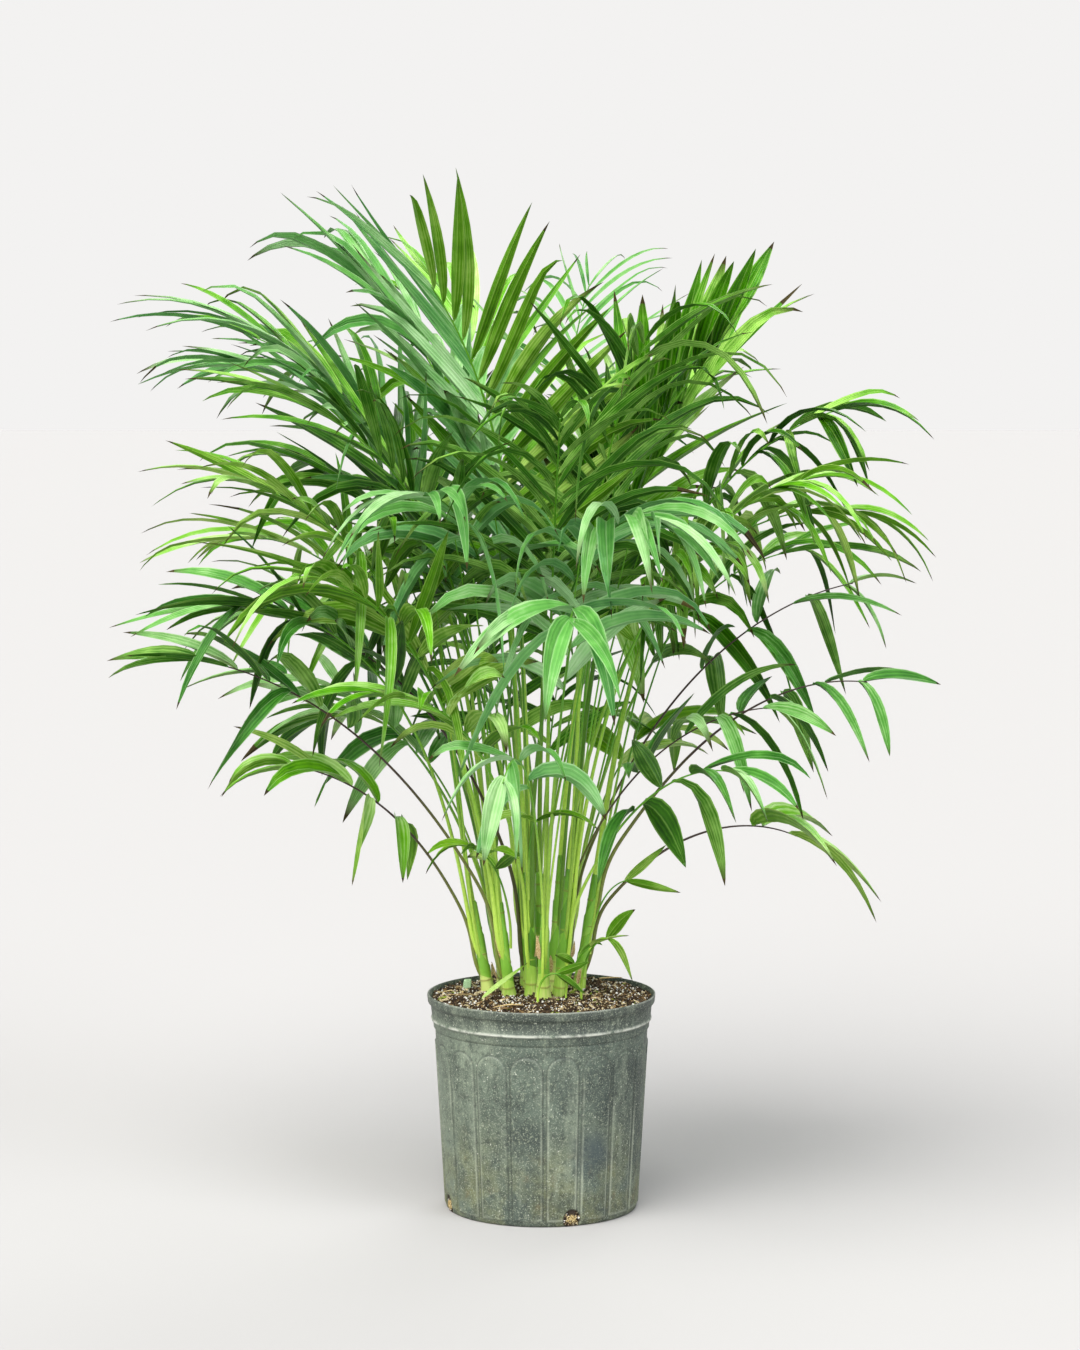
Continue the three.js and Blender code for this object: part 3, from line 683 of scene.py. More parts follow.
def leaf_skin(name, shade, middle, light, roughness, veins=0.07):
    """A leaf's skin: three greens are mixed by the leaflet's own tone, by faint blotches and by
    veins along it, which are a sine across the width, uneven because noise stretched along the
    leaf moves it. The midrib is paler, and the margins are painted paler as a highlight. Towards
    the tip the green turns to a dark olive brown, on some leaflets sooner."""
    material, tree, shader = new_material(
        name, Roughness=roughness, IOR=LEAF_IOR, Specular_IOR_Level=0.2
    )
    place = add(tree, "ShaderNodeTexCoord", out="Object")
    spots = {"Vector": place, "Scale": BLOTCHES, "Detail": 4.0}
    blotches = add(tree, "ShaderNodeTexNoise", inputs=spots)
    tone = add(tree, "ShaderNodeAttribute", {"attribute_name": "tone"}, out="Fac")
    calm = add(tree, "ShaderNodeMath", PRODUCT_PLUS, {0: blotches, 1: 0.55, 2: 0.225})
    share = add(tree, "ShaderNodeMath", PRODUCT_PLUS, {0: tone, 1: 0.2, 2: calm})
    where = add(tree, "ShaderNodeUVMap", {"uv_map": "along"})
    across = add(tree, "ShaderNodeSeparateXYZ", inputs={"Vector": where}, out="X")
    drawn = add(tree, "ShaderNodeMapping", inputs={"Vector": where, "Scale": (26.0, 1.2, 1.0)})
    streaks = {"Vector": drawn, "Scale": 1.0, "Detail": 2.0}  # 26 across the leaflet, 0.7 mm each
    uneven = add(tree, "ShaderNodeTexNoise", inputs=streaks)
    phase = add(tree, "ShaderNodeMath", PRODUCT, {0: across, 1: 2 * math.pi * VEINS})
    wave = add(tree, "ShaderNodeMath", {"operation": "SINE"}, {0: phase})
    lines = add(tree, "ShaderNodeMath", PRODUCT_PLUS, {0: uneven, 1: 4.0, 2: wave})
    total = add(tree, "ShaderNodeMath", PRODUCT_PLUS, {0: lines, 1: veins, 2: share})
    ramp = add(tree, "ShaderNodeValToRGB", inputs={"Fac": total})
    centre = 0.5 + 2 * veins
    green = stops(ramp, (centre - 0.32, shade), (centre, middle), (centre + 0.3, light))
    off = add(tree, "ShaderNodeMath", {"operation": "SUBTRACT"}, {0: across, 1: 0.5})
    off = add(tree, "ShaderNodeMath", {"operation": "ABSOLUTE"}, {0: off})
    margin_highlight = add(tree, "ShaderNodeMapRange", CLAMPED, {"Value": off, **MARGIN_HIGHLIGHT})
    midrib = add(tree, "ShaderNodeMapRange", CLAMPED, {"Value": off, **MIDRIB})
    pale = add(tree, "ShaderNodeMath", {"operation": "ADD"}, {0: margin_highlight, 1: midrib})
    green = add(tree, "ShaderNodeMix", OF_COLOURS, {0: pale, 6: green, 7: linear(light)}, out=2)
    up_leaf = across.node.outputs["Y"]
    aged = add(tree, "ShaderNodeMath", PRODUCT_PLUS, {0: tone, 1: 0.08, 2: up_leaf})
    aged = add(tree, "ShaderNodeMapRange", CLAMPED, {"Value": aged, **AGED})
    tipped = {0: aged, 6: green, 7: linear(AGED_TIP)}
    skin = add(tree, "ShaderNodeMix", OF_COLOURS, tipped, out=2)
    tree.links.new(skin, shader.inputs["Base Color"])
    relief = {"Height": lines, "Strength": 0.5, "Distance": 0.0003}
    bump = add(tree, "ShaderNodeBump", inputs=relief)
    tree.links.new(bump, shader.inputs["Normal"])
    return material

# %% Leaf greens, undersides and dry tips
# The waxy upper skins shine softly where they face the light, and the undersides stay dull. The green
# undersides are darker than their tops, a painted shade, and the waxy one is paler.
painted_shade_leaf_underside = leaf_skin("palm leaf, dull underside, painted shade", "#2c5804", "#589012", "#aacc66", 0.5)
# the deep underside is darker still: painted shade for the inner and the low fronds
deep_painted_shade_underside = leaf_skin("palm leaf, dull deep underside, painted shade", "#113802", "#326a06", "#84b052", 0.5)
waxy_underside = leaf_skin(
    "palm leaf, dull waxy underside", "#3c7a3c", "#6aa65a", "#a2c894", 0.5, veins=0.045
)
dry_tip = leaf_skin("palm leaf, dried brown tip", "#1f1c0c", "#3d361a", "#7a6c3c", 0.8, veins=0.02)
GREENS = {
    # deep green: painted shade for the inner fronds of the crown
    "deep": leaf_skin("palm leaf, deep green with painted shade", "#143e00", "#448806", "#a2d062", 0.28),
    "middle": leaf_skin("palm leaf, grown green", "#2e6e06", "#6aae1c", "#bade8c", 0.3),
    # the pale blue-green is partly a waxy bloom and partly a painted sheen of the sky
    "waxy": leaf_skin(
        "palm leaf, pale waxy bloom and painted sheen", "#2d6c28", "#5f9e48", "#a4c890", 0.34, veins=0.045
    ),
    "young": leaf_skin("palm leaf, new yellow green", "#428208", "#7aae1c", "#bed884", 0.34),
    # old bluish green for the low fronds, made darker as painted shade under the crown
    "old": leaf_skin("palm leaf, old bluish green, darker with painted shade", "#205816", "#509434", "#a6d08c", 0.32),
}
UNDERSIDES = {
    "deep": deep_painted_shade_underside,
    "middle": painted_shade_leaf_underside,
    "waxy": waxy_underside,
    "young": painted_shade_leaf_underside,
    "old": deep_painted_shade_underside,
}
print(len(bpy.data.materials) - 1, "leaf finishes")

# %% [markdown]
# ## The leaflets of the crown
# The arching fronds on the upper left show the pale bloom, partly a painted sheen, those at the
# top and on the sides a bright saturated green, the low and old ones a darker bluish green, whose
# darkness is painted shade, and the inner ones the deepest, a painted shade inside the crown.
# Leaflets of one green are one piece. The dry tips are the last faces of those leaflets that
# drew a high number, and a few that drew a very high one have a longer dry end.

# %% The leaflets of the crown
FROND_GREENS = {
    "waxy": "01_top 06_top 11_top 14_top 04_middle 08_top 12_low 12_middle 01_middle",
    "young": "13_low sprout shoot_left shoot_front shoot_right shoot_low shoot_foot",
    "old": "10_middle 05_low 14_middle 09_low 06_low 01_low 11_low 07_low 02_low",
    "middle": "04_top 03_top 13_top 02_middle 06_middle 07_middle 09_middle 11_middle "
              "04_low 10_low 14_low",
}  # every other frond is deep green, a painted shade for the inner crown
FIRST_ROW_GREENS = {"04_top": "waxy", "06_top": "deep"}  # two fronds whose rows differ
DRY_TIP, DRY_END = 0.4, 0.98  # a leaflet that draws more has a dry point, or a longer dry end
FIRST_UNDER = 4  # the faces of a ring from this one on are the underside

green_of = {name: green for green, names in FROND_GREENS.items() for name in names.split()}
first_row_green = {**green_of, **FIRST_ROW_GREENS}
row_green = np.array([
    (green_of if row % 2 else first_row_green).get(short_name(growths[number]), "deep")
    for row, number in enumerate(leaflets["frond"])
])
print("leaflets of each green:", {green: int((row_green == green).sum()) for green in GREENS})

# %% Growing the leaflets
for green, skin in GREENS.items():
    rows = {key: numbers[row_green == green] for key, numbers in leaflets.items()}
    points, uv, tone = grow_blades(rows)
    count, rings = len(rows["frond"]), len(BLADE_RINGS)
    ring_of = np.repeat(np.arange(rings - 1), BLADE_SIDES)
    below = np.tile(np.arange(BLADE_SIDES) >= FIRST_UNDER, rings - 1)
    dry_from = rings - 1 - (rows["dry"] > DRY_END)
    quad_kind = np.where(ring_of[None] >= dry_from[:, None], 2, below[None].astype(int))
    end_kind = np.zeros((count, 2 * BLADE_SIDES), int)
    end_kind[:, BLADE_SIDES:] = np.where(rows["dry"] > DRY_TIP, 2, 0)[:, None]
    piece = new_piece(
        f"leaflets_{green}",
        points,
        loft_faces(count, rings, BLADE_SIDES, pointed=True),
        [skin, UNDERSIDES[green], dry_tip],
        np.concatenate([quad_kind.ravel(), end_kind.ravel()]),
        uv,
        {"tone": tone},
    )
    names = [growths[number]["name"] for number in np.unique(rows["frond"])]
    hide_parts(*[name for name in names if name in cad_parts])

# %% [markdown]
# ## Ribs and leaf stalks
# A frond's rib is a stiff rod, thick and round where it leaves its sheath and as thin as a wire
# at the tip. Those of the old, low fronds have turned dark, almost purple. Each rib is a tube of
# ten sides carried along the frond's path.

# %% Ribs and leaf stalks
RIB_SIDES = 10
STALK_RADIUS = {"low": 1.9, "middle": 2.5, "top": 3.3, "spear": 1.9}
SMALL_STALK_RADIUS = 1.3  # of the sprout and the shoots
RIB_TIP_RADIUS = 0.7
STALK_ROOTS = np.array([1.0, 0.75, 0.5, 0.25])  # shares of the way down and in, from the lowest
ROOT_DEPTH = 52.0
SMALL_ROOT_DEPTH = 6.0
DARK_STALKS = ("01_low", "09_low", "14_low", "10_low", "02_low", "05_low", "10_middle")


def grow_tubes(at, side, face, radius, sides):
    """Rings of points at each station: centre plus radius times (side cos a + face sin a)."""
    a = 2 * math.pi * np.arange(sides) / sides
    ring = side[..., None, :] * np.cos(a)[:, None] + face[..., None, :] * np.sin(a)[:, None]
    return at[..., None, :] + radius[..., None, None] * ring


def stalk_points(frond):
    """The rib's tube: its radius falls from the stalk's to the tip's by (1 - share) to the power
    of 1.2. Below its foot it runs on down the cane and draws in to the cane's axis, as a leaf
    base does."""
    rib = frond["rib"]
    thick = STALK_RADIUS.get(frond["name"].split("_")[-1], SMALL_STALK_RADIUS)
    thick = thick * (1 + 0.22 * math.sin(2.7 * frond["bearing"]))
    radius = RIB_TIP_RADIUS + (thick - RIB_TIP_RADIUS) * (1 - rib["share"]) ** 1.2
    way = STALK_ROOTS[:, None]
    if "seat" in frond:
        cane = frond["cane"]
        on_axis = cane["foot"] + cane["along"] * ((frond["foot"] - cane["foot"]) @ cane["along"])
        down = min(ROOT_DEPTH, cane["tall"] * frond["seat"] - 4)
        root = frond["foot"] + way**2 * (on_axis - frond["foot"]) * 1.1 - way * cane["along"] * down
    else:
        root = frond["foot"] - way * UP * SMALL_ROOT_DEPTH
    extend = lambda key: np.concatenate([np.repeat(rib[key][:1], len(way), 0), rib[key]])
    at = np.concatenate([root, rib["at"]])
    radius = np.concatenate([np.full(len(way), radius[0]), radius])
    return grow_tubes(at, extend("side"), extend("face"), radius, RIB_SIDES)

# %% The finish of a stalk
def stalk_skin(name, foot, tip, shaded):
    """A smooth stalk whose colour runs from foot to tip, with faint speckles, and is mixed with
    a third colour by the stalk's own tone."""
    material, tree, shader = new_material(name, Roughness=0.3, IOR=LEAF_IOR)
    place = add(tree, "ShaderNodeTexCoord", out="Object")
    grain = {"Vector": place, "Scale": 260.0, "Detail": 2.0}  # specks about 4 mm across
    specks = add(tree, "ShaderNodeTexNoise", inputs=grain)
    where = add(tree, "ShaderNodeUVMap", {"uv_map": "along"})
    along = add(tree, "ShaderNodeSeparateXYZ", inputs={"Vector": where}, out="Y")
    share = add(tree, "ShaderNodeMath", PRODUCT_PLUS, {0: specks, 1: 0.3, 2: along})
    ramp = add(tree, "ShaderNodeValToRGB", inputs={"Fac": share})
    fresh = stops(ramp, (0.15, foot), (0.65, tip))
    tone = add(tree, "ShaderNodeAttribute", {"attribute_name": "tone"}, out="Fac")
    darker = add(tree, "ShaderNodeMath", {**PRODUCT, "use_clamp": True}, {0: tone, 1: 0.85})
    shades = {0: darker, 6: fresh, 7: linear(shaded)}
    mixed = add(tree, "ShaderNodeMix", OF_COLOURS, shades, out=2)
    tree.links.new(mixed, shader.inputs["Base Color"])
    return material


# The hard, smooth skin shows a thin line of light along each stalk.
stalk_skins = {
    "green": stalk_skin("palm stalk, smooth green", "#bfe35a", "#5e9e20", "#2f6a0c"),
    "dark": stalk_skin("palm stalk, aged dark purple", "#7d8a3c", "#38261f", "#33221f"),
}
print(list(stalk_skins), "stalk finishes")

# %% Growing the stalks
stations = len(STALK_ROOTS) + PATH_STEPS + 1
around = np.tile(np.arange(RIB_SIDES) / RIB_SIDES, stations)
for tint, skin in stalk_skins.items():
    is_dark = tint == "dark"
    chosen = [f for f in [*growths, *spears] if (short_name(f) in DARK_STALKS) == is_dark]
    points = np.stack([stalk_points(frond) for frond in chosen])
    share = np.repeat(np.concatenate([0 * STALK_ROOTS, chosen[0]["rib"]["share"]]), RIB_SIDES)
    tones = np.random.default_rng(31).uniform(-1, 1, len(chosen))
    piece = new_piece(
        f"stalks_{tint}",
        points.reshape(-1, 3),
        loft_faces(len(chosen), stations, RIB_SIDES, pointed=False),
        [skin],
        uv=np.tile(np.stack([around, share], -1), (len(chosen), 1)),
        values={"tone": np.repeat(tones, len(share))},
    )
    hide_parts(*[frond["name"] for frond in chosen if frond["name"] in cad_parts])

# %% [markdown]
# ## Canes
# A cat palm's canes are like reeds: pale green, ringed by the scars of shed leaves, swollen and
# nearly yellow at the foot. The bases of its leaf stalks wrap each cane in a sheath whose mouth
# is cut obliquely, higher on the side of the stalk. A cane is a profile turned about its leaning
# axis, and its scars are narrow ridges in that profile.

# %% Canes
CANE_RINGS = 120
CANE_ROUND = 20
CANE_OVERLAP = 1.5  # mm that a cane runs on past its foot and its tip
CAP_RINGS = 6  # the last rings close the tip by a dome
NODE_SPACING = 26.0  # mm between the scars
FIRST_SCAR = 11.0
SCAR_WIDTH = 0.9
FRONT_LINE = -25.0  # canes with their foot before it are wider there


def bell(off, width):
    """exp(-(off / width) squared): 1 in the middle, and near 0 from twice the width on."""
    return np.exp(-((off / width) ** 2))


def cane_frame(cane):
    """Side and face: the cane's own two directions square to its axis."""
    away = heading(cane["bearing"], 90)
    side = unit(away - cane["along"] * (away @ cane["along"]))
    return side, np.cross(cane["along"], side)


def cane_profile(cane, high):
    """The radius falls evenly from foot to tip, swells at the foot by exp(-high / 9 mm), and by
    more on the canes in front, and has a ridge at each scar. Returns it and the scars."""
    share = high / cane["tall"]
    straight = CANE_RADIUS + (CANE_TIP_RADIUS - CANE_RADIUS) * share
    front = cane["foot"][1] < FRONT_LINE
    proud = CANE_FOOT_RADIUS - CANE_RADIUS + 1.2 * front
    swell = proud * np.exp(-np.maximum(high, 0) / (9 + 7 * front))
    spacing = NODE_SPACING * (1 + 0.15 * math.sin(5 * cane["index"]))
    off = (high - FIRST_SCAR - 3 * math.sin(3 * cane["index"])) % spacing
    scar = bell(np.minimum(off, spacing - off), SCAR_WIDTH) * (share < 0.9)
    return 0.93 * straight + swell + 0.45 * scar, scar

# %% The points of all canes
cane_points, cane_uv, cane_scars, cane_tones = [], [], [], []
around = np.tile(np.arange(CANE_ROUND) / CANE_ROUND, CANE_RINGS)
for cane in canes:
    high = np.linspace(-CANE_OVERLAP, cane["tall"] + CANE_OVERLAP, CANE_RINGS)
    radius, scar = cane_profile(cane, high)
    radius[-CAP_RINGS:] *= np.sqrt(1 - np.linspace(0, 0.93, CAP_RINGS) ** 2)
    at = cane["foot"] + cane["along"] * high[:, None]
    side, face = (np.tile(way, (CANE_RINGS, 1)) for way in cane_frame(cane))
    cane_points.append(grow_tubes(at, side, face, radius, CANE_ROUND).reshape(-1, 3))
    cane_uv.append(np.stack([around, np.repeat(high * MM, CANE_ROUND)], -1))
    cane_scars.append(np.repeat(scar, CANE_ROUND))
    cane_tones.append(np.full(CANE_RINGS * CANE_ROUND, math.sin(4.3 * cane["index"])))

# %% The finish of the canes
# A cane is as smooth as a reed: it shows a soft line of light, broken by its scars.
cane_skin, tree, shader = new_material("palm cane, smooth and ringed", Roughness=0.33, IOR=LEAF_IOR)
where = add(tree, "ShaderNodeUVMap", {"uv_map": "along"})
level = add(tree, "ShaderNodeSeparateXYZ", inputs={"Vector": where}, out="Y")
place = add(tree, "ShaderNodeTexCoord", out="Object")
drawn = add(tree, "ShaderNodeMapping", inputs={"Vector": place, "Scale": (1.0, 1.0, 0.12)})
grain = {"Vector": drawn, "Scale": 420.0, "Detail": 3.0}  # about 2 mm wide and 20 mm long
streaks = add(tree, "ShaderNodeTexNoise", inputs=grain)
rise = add(tree, "ShaderNodeMath", PRODUCT_PLUS, {0: level, 1: 5.5, 2: -0.28})
tone = add(tree, "ShaderNodeAttribute", {"attribute_name": "tone"}, out="Fac")
rise = add(tree, "ShaderNodeMath", PRODUCT_PLUS, {0: tone, 1: 0.16, 2: rise})
share = add(tree, "ShaderNodeMath", PRODUCT_PLUS, {0: streaks, 1: 0.6, 2: rise})
ramp = add(tree, "ShaderNodeValToRGB", inputs={"Fac": share})
green = stops(ramp, (0.0, "#cde07e"), (0.16, "#aed65a"), (0.5, "#83bd3a"), (1.0, "#4a861c"))
scarred = add(tree, "ShaderNodeAttribute", {"attribute_name": "scar"}, out="Fac")
scarred = add(tree, "ShaderNodeMath", PRODUCT, {0: scarred, 1: 0.65})
ringed = {0: scarred, 6: green, 7: linear("#8a6f3c")}
ringed = add(tree, "ShaderNodeMix", OF_COLOURS, ringed, out=2)
tree.links.new(ringed, shader.inputs["Base Color"])
relief = {"Height": streaks, "Strength": 0.3, "Distance": 0.0006}
bump = add(tree, "ShaderNodeBump", inputs=relief)
tree.links.new(bump, shader.inputs["Normal"])

cane_piece = new_piece(
    "canes_ringed",
    np.concatenate(cane_points),
    loft_faces(CANES, CANE_RINGS, CANE_ROUND, pointed=False),
    [cane_skin],
    uv=np.concatenate(cane_uv),
    values={"scar": np.concatenate(cane_scars), "tone": np.concatenate(cane_tones)},
)
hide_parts(*[f"cane_{cane['index'] + 1:02d}" for cane in canes])

# %% [markdown]
# ## Leaf sheaths
# Each sheath is a thin sleeve round the cane, below the point where its stalk leaves. Its mouth
# rises to the stalk and dips on the other side, and its edge is pale and dry.

# %% Leaf sheaths
SHEATH_LENGTH = 46.0
MOUTH_RISE = 15.0  # mm
SHEATH_LEVELS = np.array([0, 0.25, 0.5, 0.75, 0.92, 1.0, 1.0, 0.9])
SHEATH_PROUD = np.array([-0.8, -0.4, 0.0, 0.3, 0.4, 0.45, 0.1, -0.4])


def sheath_points(cane, seat, bearing):
    """Rings about the cane, each at its level between the sheath's foot and its mouth, which is
    raised by the mouth's rise times cos(angle from the stalk). The last two rings turn the edge
    inwards."""
    side, face = cane_frame(cane)
    a = 2 * math.pi * np.arange(CANE_ROUND) / CANE_ROUND
    toward = math.radians(bearing - cane["bearing"])
    mouth = seat * cane["tall"] + MOUTH_RISE * np.cos(a - toward)
    low = max(3.0, seat * cane["tall"] - SHEATH_LENGTH)
    high = low + (mouth - low) * SHEATH_LEVELS[:, None]
    radius = CANE_RADIUS + (CANE_TIP_RADIUS - CANE_RADIUS) * high / cane["tall"]
    radius = radius + SHEATH_PROUD[:, None]
    out = side * np.cos(a)[:, None] + face * np.sin(a)[:, None]
    return cane["foot"] + cane["along"] * high[..., None] + out * radius[..., None]


seated = [frond for frond in fronds if frond["seat"] < 1]
points = np.stack([sheath_points(f["cane"], f["seat"], f["bearing"]) for f in seated])
level = np.repeat(SHEATH_LEVELS, CANE_ROUND)
around = np.tile(np.arange(CANE_ROUND) / CANE_ROUND, len(SHEATH_LEVELS))
sheath_skin = stalk_skin("palm sheath, smooth green", "#b2dc60", "#7fba3c", "#437c18")
tones = np.random.default_rng(32).uniform(-1, 1, len(seated))
piece = new_piece(
    "leaf_sheaths",
    points.reshape(-1, 3),
    loft_faces(len(seated), len(SHEATH_LEVELS), CANE_ROUND, pointed=False),
    [sheath_skin],
    uv=np.tile(np.stack([around, level], -1), (len(seated), 1)),
    values={"tone": np.repeat(tones, len(level))},
)
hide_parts(*[f"cane_{cane['index'] + 1:02d}" for cane in canes])

# %% [markdown]
# ## The nursery pot
# The pot is blown or moulded from recycled dark plastic. Its wall tapers a little and has
# eighteen arched panes that stand proud of narrow grooves, a bead below the collar and a thick
# lip. All of this is one height above a plain cone, so the pot is one surface: a profile carried
# round, whose radius also depends on the bearing.

# %% The wall's shape
POT_HEIGHT = 241.0
RIM_RADIUS = 127.0
BASE_RADIUS = 107.0
WALL = 2.6
FLOOR = 3.0
PANES = 18
PANE_PROUD = 1.1
PANE_TOP = 189.0
PANE_FOOT = 6.0
PANE_TURN = -1.8  # degrees that the grooves lie off the front
PANE_HALF = 8.6  # degrees from a pane's middle to its edge
PANE_STEP = 2.4  # mm in which the wall rises from a groove to its pane
DRAIN_HOLES = 4
DRAIN_BEARING = -72.0
DRAIN_RADIUS = 9.6
DRAIN_HEIGHT = FLOOR + 5
DRAIN_DEPTH = 2.3
COLLAR_RADIUS = RIM_RADIUS - 9
COLLAR_TALL = 40.0
BEAD = 213.8  # height of the bead under the collar
LIP = 240.5  # height of the lip's worn edge
AROUND = 900

OUTER = np.array([
    (0.0, BASE_RADIUS - 3.4), (0.4, BASE_RADIUS - 2.0), (1.6, BASE_RADIUS - 0.7), (4.0, BASE_RADIUS),
    (PANE_TOP - 12, COLLAR_RADIUS - 1.2), (PANE_TOP, COLLAR_RADIUS - 0.6), (200.0, COLLAR_RADIUS),
    (201.5, COLLAR_RADIUS - 0.4), (203.0, COLLAR_RADIUS + 1.0), (204.5, COLLAR_RADIUS + 1.9),
    (210.0, COLLAR_RADIUS + 2.2), (211.2, COLLAR_RADIUS + 2.9), (212.2, COLLAR_RADIUS + 4.1),
    (213.6, COLLAR_RADIUS + 4.7), (215.0, COLLAR_RADIUS + 4.4), (216.2, COLLAR_RADIUS + 3.6),
    (227.5, RIM_RADIUS - 4.2), (229.3, RIM_RADIUS - 4.1), (230.2, RIM_RADIUS - 3.2),
    (231.2, RIM_RADIUS - 1.6), (232.6, RIM_RADIUS - 0.9), (239.0, RIM_RADIUS - 0.2),
    (240.4, RIM_RADIUS - 0.3), (241.0, RIM_RADIUS - 1.1),
])  # heights and radii of the smooth outer wall, from the base corner to the lip


def inner_radius(z):
    """The cavity is a cone up to the collar, and a wider one above it."""
    foot = POT_HEIGHT - COLLAR_TALL
    low, high, lip = BASE_RADIUS - WALL, COLLAR_RADIUS - WALL, RIM_RADIUS - WALL
    above = high + (lip - high) * (z - foot) / COLLAR_TALL
    return np.where(z < foot, low + (high - low) * z / foot, above)


def pane_height(bearing, z):
    """How far a pane lifts the wall, and off, the distance in mm to the edge of its outline. That
    is a straight strip with a half circle on top. Along the edge runs a narrow ridge."""
    turn = (bearing - 270 + PANE_TURN) % (360 / PANES) - 180 / PANES
    across = np.radians(turn) * COLLAR_RADIUS
    half = math.radians(PANE_HALF) * COLLAR_RADIUS
    above = np.maximum(0, z - (PANE_TOP - half))
    off = half - np.hypot(across, above)
    off = np.minimum(off, (z - PANE_FOOT) * 0.8)
    return PANE_PROUD * smooth_step(off / PANE_STEP + 0.5) + 0.2 * bell(off - 1.2, 0.9), off


def drain(bearing, z):
    """How far a point of the wall lies inside a drain hole: 1 in the middle, 0 outside."""
    turn = (bearing - DRAIN_BEARING + 180 / DRAIN_HOLES) % (360 / DRAIN_HOLES) - 180 / DRAIN_HOLES
    away = np.hypot(np.radians(turn) * BASE_RADIUS, 0.85 * (z - DRAIN_HEIGHT))
    return smooth_step((DRAIN_RADIUS - away) / 1.4 + 0.5)

# %% The points of the pot
drain_levels, pane_levels, arch_levels = (5, 27, 20), (30, 164, 12), (168, 200, 26)
levels = [np.linspace(*band) for band in (drain_levels, pane_levels, arch_levels)]
heights = np.unique(np.concatenate([OUTER[:, 0], *levels]))
radii = np.interp(heights, OUTER[:, 0], OUTER[:, 1])
bearings = np.arange(AROUND) * 360 / AROUND
grid_bearing, grid_z = np.meshgrid(bearings, heights)
lift, pane_off = pane_height(grid_bearing, grid_z)
wall_radius = radii[:, None] + lift * (grid_z > 4) * (grid_z < 199.9)
hole = drain(grid_bearing, grid_z)
oval = 0.35 * np.sin(np.radians(2 * grid_bearing + 40))
wobble = oval + 0.2 * np.sin(np.radians(3 * grid_bearing) + grid_z / 60)
wall_radius = wall_radius + wobble * grid_z / POT_HEIGHT - DRAIN_DEPTH * hole
inside_z = np.array([240.6, 238.5, 233.0, 226.0, 201.0, 120.0, 40.0, FLOOR])
inside_r = inner_radius(inside_z) + np.array([0.7, 0.0, 0.0, 0.0, 0.0, 0.0, 0.0, -0.5])
profile_z = np.concatenate([np.zeros(2), heights, inside_z, [FLOOR]])
all_round = lambda values: np.asarray(values, float)[:, None] * np.ones(AROUND)
under, inner = all_round([1.0, BASE_RADIUS - 8]), all_round([*inside_r, 1.0])
profile_r = np.concatenate([under, wall_radius, inner])
cos_sin = np.stack([np.cos(np.radians(bearings)), np.sin(np.radians(bearings))], -1)
profile_high = np.broadcast_to(profile_z[:, None, None], (*profile_r.shape, 1))
pot_points = np.concatenate([profile_r[..., None] * cos_sin, profile_high], -1)

# %% Marks that the shape leaves
paned = (grid_z > 5) * (grid_z < 196)
fainter = np.where(grid_z > PANE_TOP - 22, 0.45, 1.0)
marks = {
    # a pale line just inside each pane's outline, fainter on the arches: partly scuffs, partly a
    # painted highlight
    "edge": bell(pane_off - 1.0, 1.1) * paned * fainter,
    # painted shade in the groove just outside each pane's outline
    "groove_shade": bell(pane_off + 0.9, 0.9) * paned,
    "plug": hole,
    "scuff": bell(grid_z - BEAD, 1.3) + 0.35 * bell(grid_z - LIP, 1.0),
}
inside_rings = len(profile_z) - 2 - len(heights)
padding = (2, inside_rings), (0, 0)
marks = {key: np.pad(on_wall, padding).ravel() for key, on_wall in marks.items()}
print("pot wall", len(pot_points), "rings of", AROUND, "points")

# %% [markdown]
# ## The pot's plastic
# Polypropylene for nursery pots is a dull grey-green black. This one has stood outdoors: pale
# dust sits all over it in speckles, lime has dried in streaks, green algae and brown stains grow
# on the lower part, and the bead and the lip are scuffed nearly white. The left side, towards the
# key lamp, is paler: painted light. The grooves beside the panes hold painted shade, and the
# pane edges are pale, partly scuffs and partly a painted highlight. The colour is built up like
# coats of paint: each coat lies where noise of its own grain, a part of the pot or a number that
# the shape itself left on each point lets it show.

# %% The pot's plastic
def patches(tree, place, grains, detail, low, high):
    """Noise with this many grains in a metre, cut to patches: 0 below low, 1 above high."""
    pattern = {"Vector": place, "Scale": grains, "Detail": detail, "Roughness": 0.6}
    noise = add(tree, "ShaderNodeTexNoise", inputs=pattern)
    cut = {"Value": noise, "From Min": low, "From Max": high}
    return add(tree, "ShaderNodeMapRange", CLAMPED, cut)


def paint_over(tree, below, colour, strength, *shares):
    """A coat of a colour over what is below, as strong as its strength times all its shares."""
    for share in shares:
        strength = add(tree, "ShaderNodeMath", PRODUCT, {0: share, 1: strength})
    return add(tree, "ShaderNodeMix", OF_COLOURS, {0: strength, 6: below, 7: linear(colour)}, out=2)

# %% Where a coat may lie
DARK_PATCH = (0.056, -0.095, 0.083)  # metres, a stain low on the front right
DRAWN_OUT = (1.0, 1.0, 0.22)  # makes patches long upright

